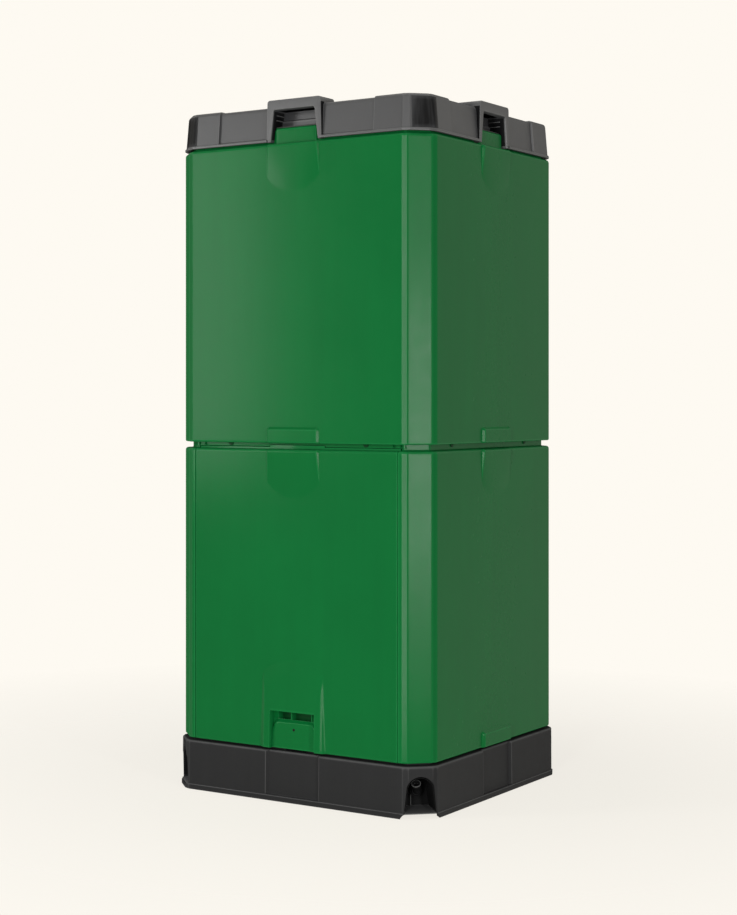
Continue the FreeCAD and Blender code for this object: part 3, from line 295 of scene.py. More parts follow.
class Skin:
    """Patches of a moulded piece, each a grid of points in millimetres, welded where their borders meet."""

    def __init__(self):
        self.points = []
        self.faces = []
        self.total = 0

    def add(self, points):
        """Keep points and give their first number."""
        first = self.total
        self.points.append(points.reshape(-1, 3))
        self.total += points.reshape(-1, 3).shape[0]
        return first

    def patch(self, grid, round_u=False, round_v=False, flip=False):
        """Add a grid (rows, columns, 3) as quads; a round direction runs back into its start."""
        rows, columns = grid.shape[:2]
        index = np.arange(rows * columns).reshape(rows, columns) + self.add(grid)
        if round_u:
            index = np.concatenate([index, index[:, :1]], axis=1)
        if round_v:
            index = np.concatenate([index, index[:1]], axis=0)
        corners = [index[:-1, :-1], index[:-1, 1:], index[1:, 1:], index[1:, :-1]]
        quads = np.stack(corners, axis=-1).reshape(-1, 4)
        self.faces += (quads[:, ::-1] if flip else quads).tolist()

    def cap(self, ring, flip=False):
        """Close a ring of points (count, 3) with one flat face."""
        index = np.arange(len(ring)) + self.add(ring)
        self.faces.append((index[::-1] if flip else index).tolist())

    def tube(self, grid, flip=False):
        """A grid whose rows are rings, closed at both ends."""
        self.patch(grid, round_u=True, flip=flip)
        self.cap(grid[0], flip=not flip)
        self.cap(grid[-1], flip=flip)

    def bar(self, grid, flip=False):
        """A closed section down the rows, carried along the columns and closed at both ends."""
        self.patch(grid, round_v=True, flip=flip)
        self.cap(grid[:, 0], flip=flip)
        self.cap(grid[:, -1], flip=not flip)

    def block(self, low, high, radius, steps=3):
        """A block with rounded edges: rounded rectangles in plan, drawn in by an arc at foot and top."""
        low = np.array(low, float)
        high = np.array(high, float)
        t = np.linspace(0, math.pi / 2, steps + 1)
        inset = radius * np.concatenate([1 - np.sin(t), 1 - np.sin(t)[::-1]])
        z = np.concatenate([low[2] + radius * (1 - np.cos(t)), (high[2] - radius * (1 - np.cos(t)))[::-1]])
        angle = np.concatenate([t + quarter * math.pi / 2 for quarter in range(4)])
        sign_x = np.repeat([1, -1, -1, 1], steps + 1)
        sign_y = np.repeat([1, 1, -1, -1], steps + 1)
        middle = (low + high) / 2
        half = (high - low) / 2
        reach = np.maximum(radius - inset, 0)[:, None]
        x = middle[0] + sign_x * (half[0] - radius) + reach * np.cos(angle)
        y = middle[1] + sign_y * (half[1] - radius) + reach * np.sin(angle)
        self.tube(np.stack(np.broadcast_arrays(x, y, z[:, None]), axis=-1))

    def merge(self, other, change):
        """Add another skin's patches, with their points moved by a function."""
        first = self.add(change(np.concatenate(other.points)))
        self.faces += [[corner + first for corner in face] for face in other.faces]

    def build(self, name):
        """Weld the patches into one mesh object."""
        mesh = bpy.data.meshes.new(name)
        mesh.from_pydata((np.concatenate(self.points) * MM).tolist(), [], self.faces)
        welded = bmesh.new()
        welded.from_mesh(mesh)
        bmesh.ops.remove_doubles(welded, verts=welded.verts, dist=WELD)
        bmesh.ops.dissolve_degenerate(welded, edges=welded.edges, dist=SLIVER)
        welded.to_mesh(mesh)
        welded.free()
        item = bpy.data.objects.new(name, mesh)
        bpy.context.scene.collection.objects.link(item)
        smooth(mesh)
        store_edge_bend(mesh)
        return item


def slab(skin, sheet, rear, number=0, flip=False):
    """A closed plate between two grids of one shape, turned to a face."""
    skin.patch(turned(sheet, number), flip=flip)
    skin.patch(turned(rear, number), flip=not flip)
    rims = ((sheet[0], rear[0], True), (sheet[-1], rear[-1], False),
            (sheet[:, 0], rear[:, 0], False), (sheet[:, -1], rear[:, -1], True))
    for near, far, back in rims:
        skin.patch(turned(np.stack([near, far]), number), flip=back != flip)


def smooth(mesh):
    """Smooth shading with sharp edges over the crease angle."""
    mesh.shade_smooth()
    mesh.set_sharp_from_angle(angle=CREASE)


def store_edge_bend(mesh):
    """Store each vertex's outward bend: the mean over its edges of the normals' change along the edge."""
    count = len(mesh.vertices)
    spots = np.empty(count * 3)
    mesh.vertices.foreach_get("co", spots)
    spots = spots.reshape(-1, 3)
    normals = np.empty(count * 3)
    mesh.vertices.foreach_get("normal", normals)
    normals = normals.reshape(-1, 3)
    ends = np.empty(len(mesh.edges) * 2, dtype=int)
    mesh.edges.foreach_get("vertices", ends)
    first, second = ends.reshape(-1, 2).T
    step = spots[second] - spots[first]
    least = 1e-8
    bend = ((normals[second] - normals[first]) * step).sum(1) / np.maximum((step * step).sum(1), least)
    total = np.bincount(first, bend, count) + np.bincount(second, bend, count)
    edges = np.bincount(first, minlength=count) + np.bincount(second, minlength=count)
    value = np.clip((total / np.maximum(edges, 1) - LIGHTEN_FROM) / LIGHTEN_SPAN, 0.0, 1.0)
    mesh.attributes.new("edge", "FLOAT", "POINT").data.foreach_set("value", value.astype(np.float32))


def carve(item, tool, operation):
    """Join or cut an object with a tool object and shade the result again; the stored outward bend, which
    lightens edges by rubbing and as a painted highlight, is carried over.
    """
    change = item.modifiers.new(operation, "BOOLEAN")
    change.operation = operation
    change.solver = "EXACT"
    change.object = tool
    graph = bpy.context.evaluated_depsgraph_get()
    mesh = bpy.data.meshes.new_from_object(item.evaluated_get(graph))
    item.modifiers.remove(change)
    old = item.data
    item.data = mesh
    bpy.data.meshes.remove(old)
    bpy.data.objects.remove(tool)
    smooth(mesh)


# Finishes


class Socket:
    """A node's output; sums and products of it add Math nodes."""

    def __init__(self, finish, output):
        self.finish = finish
        self.output = output

    def math(self, operation, first, second):
        return self.finish.node("ShaderNodeMath", {"operation": operation}, {0: first, 1: second})

    def __add__(self, other):
        return self.math("ADD", self, other)

    __radd__ = __add__

    def __sub__(self, other):
        return self.math("SUBTRACT", self, other)

    def __rsub__(self, other):
        return self.math("SUBTRACT", other, self)

    def __mul__(self, other):
        return self.math("MULTIPLY", self, other)

    __rmul__ = __mul__


class Finish:
    """A node tree that is built up by expressions."""

    def __init__(self, name, owner=None):
        self.owner = owner or bpy.data.materials.new(name)
        self.owner.use_nodes = True
        self.tree = self.owner.node_tree
        self.tree.nodes.clear()

    def node(self, kind, settings=None, sockets=None, out=0):
        """Add a node: its settings first, then its sockets' values or links; give one output."""
        item = self.tree.nodes.new(kind)
        for key, value in (settings or {}).items():
            setattr(item, key, value)
        for key, value in (sockets or {}).items():
            if isinstance(value, Socket):
                self.tree.links.new(value.output, item.inputs[key])
            else:
                item.inputs[key].default_value = value
        return Socket(self, item.outputs[out]) if item.outputs else None

    def noise(self, where, scale, detail=3.0, rough=0.5):
        """Cloudy values between 0 and 1 at a scale per metre."""
        return self.node("ShaderNodeTexNoise", {"noise_dimensions": "3D"},
                         {"Vector": where, "Scale": scale, "Detail": detail, "Roughness": rough})

    def steep(self, value, low, high):
        """A value stretched so that low becomes 0 and high becomes 1, held between them."""
        return self.node("ShaderNodeMapRange", {"clamp": True},
                         {"Value": value, "From Min": low, "From Max": high})

    def mix(self, factor, first, second):
        """One colour laid over another."""
        return self.node("ShaderNodeMix", {"data_type": "RGBA"}, {0: factor, 6: first, 7: second}, 2)

    def bump(self, height, strength, depth):
        """A normal bent by a height field, its depth in metres."""
        return self.node("ShaderNodeBump", None, {"Strength": strength, "Distance": depth, "Height": height})

    def where(self):
        """Places in the piece's own frame."""
        return self.node("ShaderNodeTexCoord", None, None, "Object")

    def stretched(self, where, scale):
        """Places stretched by a scale along each axis."""
        return self.node("ShaderNodeMapping", None, {"Vector": where, "Scale": scale})

    def surface(self, sockets):
        """The shader and the output."""
        shader = self.node("ShaderNodeBsdfPrincipled", None, sockets)
        self.node("ShaderNodeOutputMaterial", None, {"Surface": shader})
        return self.owner


def shade(tone, factor):
    """A colour made lighter or darker, with alpha."""
    return (*(min(part * factor, 1.0) for part in tone), 1.0)


def blended(tone, other, share):
    """A colour moved towards another by a share, with alpha."""
    return (*(a + (b - a) * share for a, b in zip(tone, other)), 1.0)


def moulded(name, tone, rough, lighter_tone, grain, specular, painted_streak_share):
    """Moulded plastic: flow clouds in the colour, eroded grain, edges lightened by rubbing and as a painted
    highlight, painted reflection streaks where asked, duller when seen aslant.
    """
    finish = Finish(name)
    where = finish.where()
    cloud = finish.noise(where, 5.0, 4.0, 0.55)
    streak = finish.noise(finish.stretched(where, (38.0, 38.0, 2.6)), 1.0, 3.0, 0.6)
    speck = finish.noise(where, 1300.0, 2.0, 0.6)
    blotch = finish.noise(where, 55.0, 3.0, 0.6)
    edge = finish.node("ShaderNodeAttribute", {"attribute_name": "edge"}, None, "Fac")
    # Convex edges lightened: partly by rubbing, partly a painted highlight
    edge_lightening = finish.steep(edge * (blotch + 0.5), 0.12, 0.95) * 0.55
    flow = finish.steep(cloud * 0.6 + streak * 0.4, 0.3, 0.7)
    body = finish.mix(flow, shade(tone, 0.93), shade(tone, 1.07))
    fleck = finish.mix(finish.steep(speck, 0.56, 0.8) * 0.22, body, blended(tone, lighter_tone, 0.35))
    # Painted light streaks of a reflection, where a finish asks for them
    lines = finish.steep(streak, 0.52, 0.68) * painted_streak_share * 0.6
    skin = finish.mix(finish.steep(edge_lightening + lines, 0.0, 1.0), fleck, (*lighter_tone, 1.0))
    graze = finish.steep(finish.node("ShaderNodeLayerWeight", None, {"Blend": 0.5}, "Facing"), 0.5, 0.9)
    gloss = rough + (blotch - 0.5) * 0.09 + (cloud - 0.5) * 0.06 - edge_lightening * 0.08 + graze * 0.75
    height = speck * 0.7 + blotch * 0.3
    return finish.surface({"Base Color": skin, "Roughness": gloss, "Specular IOR Level": specular,
                           "Normal": finish.bump(height, 0.12 * grain, 0.0005)})


def foam_board(name, tone):
    """Rigid foam: a cell pattern of expanded beads in colour and height, with dust in the gaps."""
    finish = Finish(name)
    where = finish.where()
    bead = finish.node("ShaderNodeTexVoronoi", {"feature": "DISTANCE_TO_EDGE"},
                       {"Vector": where, "Scale": 230.0})
    cloud = finish.noise(where, 14.0, 4.0)
    gap = 1 - finish.steep(bead, 0.02, 0.16)
    body = finish.mix(cloud, shade(tone, 0.9), shade(tone, 1.05))
    return finish.surface({"Base Color": finish.mix(gap * 0.5, body, shade(tone, 0.55)),
                           "Roughness": 0.82 + (cloud - 0.5) * 0.12,
                           "Normal": finish.bump(finish.steep(bead, 0.0, 0.2), 0.5, 0.0008)})


def seal_rubber(name, tone):
    """Soft rubber: matt and dusty, with faint moulding pits."""
    finish = Finish(name)
    where = finish.where()
    dust = finish.noise(where, 40.0, 5.0, 0.65)
    pit = finish.noise(where, 700.0, 2.0)
    dusty = blended(tone, (0.2, 0.19, 0.17), 0.3)
    cover = finish.steep(dust, 0.45, 0.8) * 0.5
    return finish.surface({"Base Color": finish.mix(cover, (*tone, 1.0), dusty),
                           "Roughness": 0.72 + (dust - 0.5) * 0.2,
                           "Normal": finish.bump(pit, 0.2, 0.0004)})


def plated_steel(name, tone):
    """Zinc-plated steel: fine brushed streaks and dull spots."""
    finish = Finish(name)
    where = finish.where()
    brush = finish.noise(finish.stretched(where, (60.0, 900.0, 900.0)), 1.0, 3.0)
    spot = finish.noise(where, 120.0, 4.0, 0.6)
    dull = finish.steep(spot, 0.5, 0.8)
    return finish.surface({"Base Color": finish.mix(dull * 0.6, (*tone, 1.0), shade(tone, 0.62)),
                           "Metallic": 1.0 - dull * 0.25,
                           "Roughness": 0.3 + (brush - 0.5) * 0.2 + dull * 0.18,
                           "Normal": finish.bump(brush, 0.1, 0.0002)})


FINISHES = {}

# Plastics: the colour and a factor on it, roughness, lighter colour for edges (by rubbing and as a painted
# highlight), flecks and streaks, grain, specular level and share of painted reflection streaks
PLASTICS = {
    "green_plastic": ("green", 1.0, 0.18, (0.012, 0.2, 0.052), 0.5, 0.06, 0.0),
    # Green darkened: painted shade for the finger hollow and the pegs in the neck gaps
    "green_deep": ("green", 0.3, 0.4, (0.006, 0.08, 0.02), 0.5, 0.06, 0.0),
    "lid_plastic": ("lid", 1.0, 0.4, (0.12, 0.12, 0.118), 0.5, 0.5, 0.0),
    # Painted reflection for the lid's corners: near black, with painted light streaks
    "lid_gloss": ("base", 0.3, 0.34, (0.05, 0.05, 0.051), 0.3, 0.06, 1.0),
    # Darkened fitting black: the drain elbow's and the latch stud's colour, and painted shade for dark
    # sheets and small pieces in gaps
    "deep_black": ("fitting", 0.35, 0.6, (0.02, 0.02, 0.02), 0.5, 0.0, 0.0),
    "base_plastic": ("base", 1.0, 0.42, (0.11, 0.11, 0.11), 0.5, 0.06, 0.0),
    "inner_plastic": ("inner", 1.0, 0.55, (0.07, 0.07, 0.07), 1.0, 0.06, 0.0),
    "fitting_plastic": ("fitting", 1.0, 0.24, (0.06, 0.06, 0.06), 0.4, 0.06, 0.0),
}


def finishes():
    """Make every finish once."""
    if not FINISHES:
        tones = bpy.context.scene.bin_colours
        for name, (key, factor, *look) in PLASTICS.items():
            FINISHES[name] = moulded(name, shade(getattr(tones, key), factor)[:3], *look)
        FINISHES["foam"] = foam_board("foam", tones.foam)
        FINISHES["seal_rubber"] = seal_rubber("seal_rubber", tones.rubber)
        FINISHES["steel"] = plated_steel("steel", tones.steel)
    return FINISHES


def finished(item, body, slot, *nodes):
    """Give a piece the finish named by its slot, attach it to its body and hide the nodes that it stands
    for.
    """
    item.data.materials.append(finishes()[slot])
    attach(item, body)
    if nodes:
        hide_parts(*nodes)


def sizes():
    """The sizes in millimetres, by name."""
    group = bpy.context.scene.bin_sizes
    return {key: getattr(group, key) / MM for key in BinSizes.__annotations__}


def tier_outline():
    """The tiers' outline from above."""
    size = sizes()
    return Outline(size["tier_half"], size["corner_leg"], size["corner_round"])


# Raised forms of the tiers and the door, as heights in millimetres


# Roundings of the raised forms: foot and edge of a flank, and the line where a wedge runs out into the face
FILLET, RUN_OUT = 0.3, 0.08


def raised(inside, rise):
    """Height of a raised form: a sloping flank with a filleted foot, held by a top with a rounded edge."""
    slope = 1.09
    return np.maximum(lesser(lifted(slope * inside, FILLET), lifted(rise, RUN_OUT), FILLET), 0)


def foot_pad(along, z, low, size):
    """Height of a foot pad: flanks inside a rounded rectangle that runs off the hem, held at a flat top."""
    corner, tall = 6.0, 27.0
    across = np.abs(along) - (size["pad_half"] - corner)
    above = z - (low + tall - corner)
    return raised(corner - beyond(across, above), size["pad_proud"])


def tongue(along, z, shoulder, size):
    """Height of a finger tongue: a wedge between two flanks that meets the face along an arc."""
    tall, arc = 80.0, 65.0
    reach = tall - arc + np.sqrt(np.maximum(arc * arc - along * along, 0))
    rise = size["pad_proud"] * (1 - (shoulder - z) / reach)
    return raised(size["pad_half"] - np.abs(along), rise)


def boss(across, z, size):
    """Height of the latch boss: a wedge that meets the face along its round top, with three facets a flank.

    The wedge falls in a line from foot to top, and more steeply near the top. The outer and inner facets of
    a flank rise gently to fixed heights, and a steeper wall between them takes up the rest of the wedge.
    """
    low, spring, apex, arc = LOWER[0], 217.5, 237.5, 92.7
    half, taper = 65.5, 5.5
    least, head = 0.3, 0.09
    gentle, steep, outer, inner, edge = 0.46, 0.75, 1.5, 1.8, 0.2
    crown = apex - arc + np.sqrt(np.maximum(arc * arc - across * across, 0))
    rise = size["boss_proud"] * (least + (1 - least) * (crown - z) / (crown - low))
    rise = lesser(rise, head * (crown - z), FILLET)
    inside = half - taper * np.clip((z - low) / (spring - low), 0, 1) - np.abs(across)
    wall = np.maximum(rise - outer - inner, 0)
    foot = outer / gentle
    middle = -lesser(-gentle * inside, -(outer + steep * (inside - foot)), edge)
    upper = outer + wall + gentle * (inside - foot - wall / steep)
    facets = lifted(lesser(middle, upper, edge), FILLET)
    return np.maximum(lesser(facets, lifted(rise, RUN_OUT), edge), 0)


# Ends of the two vent slots at each end of a neck's face, from its middle
SLOT_EDGES = (184.0, 189.5, 198.4, 202.0)


def slotted(along):
    """True where a place along a face lies in one of the vent slots."""
    reach = np.abs(along)
    near, near_end, far, far_end = SLOT_EDGES
    return ((reach > near) & (reach < near_end)) | ((reach > far) & (reach < far_end))


def face_lines(outline):
    """Lines along a tier's face, close together at the pads' sloping sides."""
    slots = [(edge - 0.1, edge + 0.1, 2) for edge in SLOT_EDGES]
    return both_ways(runs((0, 40, 9), (44, 46, 3), (46.6, 53, 21), (54, 56, 3), (60, 180, 8), *slots,
                          (outline.side - 0.8, outline.side, 2)))


def tier_rows(low, shoulder):
    """Heights along a tier's face, close together at the foot pad's top and down the tongue."""
    return runs((low + 4, low + 18, 5), (low + 18, low + 30, 19), (low + 36, shoulder - 96, 9),
                (shoulder - 86, shoulder - 6, 34))


def tier_section(low, shoulder, size):
    """A tier's closed section (inset, height): foot, hem, face, shoulder, neck, rim and the inside."""
    skin, neck = size["skin"], size["neck_inset"]
    top, rim = shoulder + NECK_TALL, neck + RIM_WIDE
    face = [(0.0, z, 0) for z in tier_rows(low, shoulder)]
    slot = [(neck, shoulder + rise, 0) for rise in (3.0, 3.3, 10.5, 10.8)]
    return rounded([(neck - skin, low, 0.8), (0, low, 2.5), *face, (0, shoulder, 5), (neck, shoulder, 2),
                    *slot, (neck, top, 2), (rim, top, 0.8), (rim, top - skin, 0.5),
                    (neck + skin, top - skin, 0.5), (neck + skin, shoulder - skin, 0.5),
                    (skin, shoulder - skin, 1), (skin, low + skin, 1), (neck - skin, low + skin, 0.8)])


def relief(section, stations, low, shoulder, size, foot_faces):
    """How far a tier's skin stands out at each row and station: pads on the outer rows of the faces only."""
    inset, z = section.T
    slack, fade = 0.01, 9.0
    outer = (np.arange(len(z)) <= np.argmax(z > shoulder - slack)) | (z <= low + slack)
    weight = np.clip(1 - inset / fade, 0, 1) * outer
    along = stations[:, ALONG]
    on_face = stations[:, KIND] == FACE
    has_foot = on_face & np.isin(stations[:, NUMBER], foot_faces)
    rise = np.where(on_face, tongue(along, z[:, None], shoulder, size), 0)
    rise = np.maximum(rise, np.where(has_foot, foot_pad(along, z[:, None], low, size), 0))
    return rise * weight[:, None]


def neck_slots(section, stations, low, high):
    """Depth of the slots in a neck: boxes by height and by place along front, back and their rounds."""
    inset, z = section.T
    neck, slack, deep = 13.5, 0.45, 3.0
    middle, half = 32.0, 4.5
    tall = (np.abs(inset - neck) < slack) & (z > low) & (z < high)
    kind, turn, along, face_turn, hand, number = stations.T
    on_face = (kind == FACE) & slotted(along) & (number % 2 == 0)
    bend = np.degrees(turn - face_turn) * hand
    on_round = (kind == ROUND) & (np.abs(bend - middle) < half) & (np.abs(np.sin(face_turn)) > 0.5)
    return deep * tall[:, None] * (on_face | on_round)


class BIN_OT_tiers(Operator):
    """Both tiers: a closed section carried round the outline, with pads, tongues, neck slots and lid tabs"""

    bl_idname = "bin.tiers"
    bl_label = "Tiers"

    # Inner edge of the front posts from the middle, and the depths of the jambs that stand on them
    POST = 201.0
    JAMB_FRONT, JAMB_STEP, JAMB_BACK = -248.4, -238.0, -216.2

    def execute(self, context):
        self.upper()
        self.lower()
        self.tabs()
        return {"FINISHED"}

    def upper(self):
        """The upper tier: the section carried all the way round."""
        size = sizes()
        outline = tier_outline()
        stations = outline.ring(face_lines(outline))
        section = tier_section(*UPPER, size)
        inset = section[:, :1] - relief(section, stations, *UPPER, size, (0, 1, 2, 3))
        skin = Skin()
        skin.patch(raise_rows(outline.place(stations, inset), section[:, 1:]), round_u=True, round_v=True)
        finished(skin.build("upper_tier"), "bin", "green_plastic", "upper_shell")

    def lower(self):
        """The lower tier: the section carried from one front post round the back to the other."""
        size = sizes()
        outline = tier_outline()
        lines = face_lines(outline)
        post = np.array([self.POST, self.POST + 0.6, outline.side])
        stations = np.concatenate([outline.face(0, post), outline.corner(0), outline.face(1, lines),
                                   outline.corner(1), outline.face(2, lines), outline.corner(2),
                                   outline.face(3, lines), outline.corner(3), outline.face(0, -post[::-1])])
        low, shoulder = LOWER
        section = tier_section(low, shoulder, size)
        inset = section[:, :1] - relief(section, stations, low, shoulder, size, (1, 2, 3))
        inset = inset + neck_slots(section, stations, shoulder + 3.2, shoulder + 10.6)
        skin = Skin()
        skin.bar(raise_rows(outline.place(stations, inset), section[:, 1:]))
        finished(skin.build("lower_tier"), "bin", "green_plastic", "lower_shell")
        self.door_frame(outline, lines, size)

    def door_frame(self, outline, lines, size):
        """The door's frame: the neck's rail, lifted in the middle for the door's tongue, and two jambs."""
        shoulder = LOWER[1]
        neck = size["neck_inset"]
        back, rim = neck + size["skin"], neck + RIM_WIDE
        foot, under, top = shoulder + 4, shoulder + 21, shoulder + NECK_TALL
        slot = [(neck, shoulder + rise, 0) for rise in (5.0, 5.3, 10.5, 10.8)]
        rail = rounded([(back, foot, 0.4), (neck, foot, 0.6), *slot, (neck, top, 2), (rim, top, 0.8),
                        (rim, under, 0.5), (back, under, 0.5)])
        front = outline.face(0, lines)
        sunk = neck_slots(rail, front, shoulder + 5.2, shoulder + 10.6)
        lift, half, lift_tall = 3.2, 55.2, 6.5
        fall = np.clip((foot + lift_tall - rail[:, 1:]) / lift_tall, 0, 1)
        room = lift * (np.abs(front[:, ALONG]) < half) * fall
        skin = Skin()
        skin.bar(raise_rows(outline.place(front, rail[:, :1] + sunk), rail[:, 1:] + room))
        for side in (-1, 1):
            near, far = sorted((side * (self.POST + 0.3), side * (self.POST + 4.0)))
            skin.block((near, self.JAMB_FRONT, 90.0), (far, self.JAMB_STEP, 117.0), 0.8)
            skin.block((near, self.JAMB_FRONT, 115.8), (far, self.JAMB_BACK, 588.3), 0.8)
        finished(skin.build("door_frame"), "bin", "green_plastic", "lower_shell")

    def tabs(self):
        """Tabs of the upper tier in the lid's pockets: plates with sloped sides and round tops."""
        size = sizes()
        across = both_ways(runs((0, 34, 8), (34, 42, 12)))
        z = runs((UPPER[1] - 6, UPPER[1] + 18, 7), (UPPER[1] + 18, UPPER[1] + 27.5, 14))
        half, top, corner = 42.0, UPPER[1] + 27.5, 5.0
        slope, proud, edge, root = 1.6, 4.0, 0.7, 1.5
        x, tall = np.meshgrid(across, z)
        outside = beyond(np.abs(x) - (half - corner), tall - (top - corner))
        rise = lesser((corner - outside) * slope, proud, edge)
        neck = size["tier_half"] - size["neck_inset"]
        front = -neck - lifted(rise, FILLET)
        rear = np.full_like(x, root - neck)
        skin = Skin()
        for number in range(4):
            slab(skin, np.stack([x, front, tall], axis=-1), np.stack([x, rear, tall], axis=-1), number)
        finished(skin.build("tier_tabs"), "bin", "green_plastic")


def rim(grid):
    """The points round a grid's border, in order."""
    return np.concatenate([grid[0, :-1], grid[:-1, -1], grid[-1, :0:-1], grid[:0:-1, 0]])


def plate(skin, x, z, front, back, radius, steps=4):
    """A plate with a shaped front: the front grid, its rounded border carried back, and the back grid.

    The border runs out from the grid's rim by radius times the sine of an angle and back by radius times one
    minus its cosine, then straight to the back. The radii are those of the sides, the top and the foot.
    """
    wide, tall = np.meshgrid(x, z)
    sheet = np.stack([wide, front, tall], axis=-1)
    rear = np.stack([wide, back, tall], axis=-1)
    loop, rear_loop = rim(sheet), rim(rear)
    slack, most = 1e-6, 0.8
    sides, top, foot = radius
    sign_x = np.where(loop[:, 0] >= x[-1] - slack, 1, 0) - np.where(loop[:, 0] <= x[0] + slack, 1, 0)
    sign_z = np.where(loop[:, 2] >= z[-1] - slack, 1, 0) - np.where(loop[:, 2] <= z[0] + slack, 1, 0)
    reach = np.where(sign_z > 0, top, np.where(sign_z < 0, foot, sides))
    side = np.where(sign_x != 0, sides, 0)
    t = np.linspace(0, math.pi / 2, steps + 1)[:, None]
    out_x = loop[:, 0] + sign_x * side * np.sin(t)
    out_z = loop[:, 2] + sign_z * reach * np.sin(t)
    depth = np.where(sign_z != 0, reach, side)
    room = np.minimum(depth, (rear_loop[:, 1] - loop[:, 1]) * most)
    out_y = loop[:, 1] + room * (1 - np.cos(t))
    band = np.stack([out_x, out_y, out_z], axis=-1)
    last = np.stack([out_x[-1], rear_loop[:, 1], out_z[-1]], axis=-1)
    skin.patch(sheet)
    skin.patch(np.concatenate([band, last[None]]), round_u=True, flip=True)
    turns = np.cumsum([len(x) - 1, len(z) - 1, len(x) - 1])
    rear[0, :-1], rear[:-1, -1], rear[-1, :0:-1], rear[:0:-1, 0] = np.split(last, turns)
    skin.patch(rear, flip=True)


class BIN_OT_door(Operator):
    """The door: a front with tongue, latch boss and well as one height field, rounded borders and a back"""

    bl_idname = "bin.door"
    bl_label = "Door"

    # The latch's well and the hollow for fingers in it: half widths, heights and depths
    WELL_HALF, WELL_TOP, WELL_FLOOR = 44.0, 151.0, -239.5
    HOLLOW_HALF, HOLLOW_LOW, HOLLOW_FLOOR = 34.0, 118.3, -228.0
    # Two ribs across the hollow, and the door's back with the rebate along its foot
    RIBS, RIB_HALF, RIB_FRONT = (-9.0, 31.2), 1.0, -240.0
    BACK, REBATE_TOP, REBATE_BACK = -226.0, 117.5, -237.5

    def execute(self, context):
        size = sizes()
        x = both_ways(runs((0, 30, 9), (8.2, 9.8, 3), (30.4, 32, 3), (33.7, 34.3, 2), (36, 43.6, 8),
                           (43.7, 44.3, 2), (45, 67, 50), (72, 195, 8), (197.6, 198.7, 2)))
        z = runs((90.5, 117, 8), (118.0, 118.6, 2), (121, 147, 9), (150.7, 151.3, 2), (153, 211, 18),
                 (213, 240, 19), (246, 500, 9), (503.5, 580, 33), (583.5, 584.5, 2))
        wide, tall = np.meshgrid(x, z)
        rise = np.maximum(tongue(wide, tall, LOWER[1], size), boss(wide, tall, size))
        front = -(size["tier_half"] + rise)
        well = (np.abs(wide) < self.WELL_HALF) & (tall < self.WELL_TOP)
        hollow = well & (np.abs(wide) < self.HOLLOW_HALF) & (tall > self.HOLLOW_LOW)
        front = np.where(well, self.WELL_FLOOR, front)
        front = np.where(hollow, self.HOLLOW_FLOOR, front)
        for place in self.RIBS:
            front = np.where(hollow & (np.abs(wide - place) < self.RIB_HALF), self.RIB_FRONT, front)
        back = np.where(tall < self.REBATE_TOP, self.REBATE_BACK, self.BACK)
        skin = Skin()
        plate(skin, x, z, front, back, (1.0, 5.0, 2.5))
        skin.block((-198.5, -236.4, 584.0), (198.5, -234.4, 592.8), 0.5)
        skin.block((-54.4, -236.5, 584.0), (54.4, -234.9, 596.0), 0.5)
        finished(skin.build("door_skin"), "door", "green_plastic", "door_panel")
        # Painted shade: a dark green sheet in the finger hollow
        grip_shade = Skin()
        grip_shade.block((-33.6, -228.7, 118.8), (33.6, -227.5, 150.6), 0.3)
        finished(grip_shade.build("grip_lining"), "door", "green_deep")
        self.tongue_plate()
        return {"FINISHED"}

    def tongue_plate(self):
        """The latch tongue: a plate with a bevelled top, rounded borders and a foot that swells forward."""
        x = both_ways(runs((0, 8, 3), (8, 10.4, 5), (14, 36, 6), (36, 41.8, 12)))
        z = runs((89.8, 104, 8), (107, 117, 4), (119, 136.6, 33))
        wide, tall = np.meshgrid(x, z)
        round_from, round_fall = 32.0, 10.0
        high = tall + np.maximum(np.abs(wide) - round_from, 0) ** 2 / round_fall
        gentle = lifted(0.12 * (high - 123.5), 0.2)
        steep = lifted(0.9 * (high - 131.8), 0.15)
        bevel = lesser(gentle + steep, 5.9, 0.3)
        swell = 0.8 * ease((106 - tall) / 12)
        front = -247.0 + bevel - swell
        back = np.full_like(front, -240.3)
        skin = Skin()
        plate(skin, x, z, front, back, (1.5, 0.3, 1.2))
        finished(skin.build("latch_plate"), "latch", "green_plastic", "latch_tongue")
        t = np.linspace(0, 2 * math.pi, 25)[:-1]
        stud_z = 121.0
        radius, depth = np.array([[2.2, -246.4], [2.2, -247.1], [1.9, -247.25]]).T[..., None]
        spot = np.broadcast_arrays(radius * np.cos(t), depth, stud_z + radius * np.sin(t))
        head = Skin()
        head.tube(np.stack(spot, axis=-1))
        finished(head.build("latch_stud"), "latch", "deep_black")


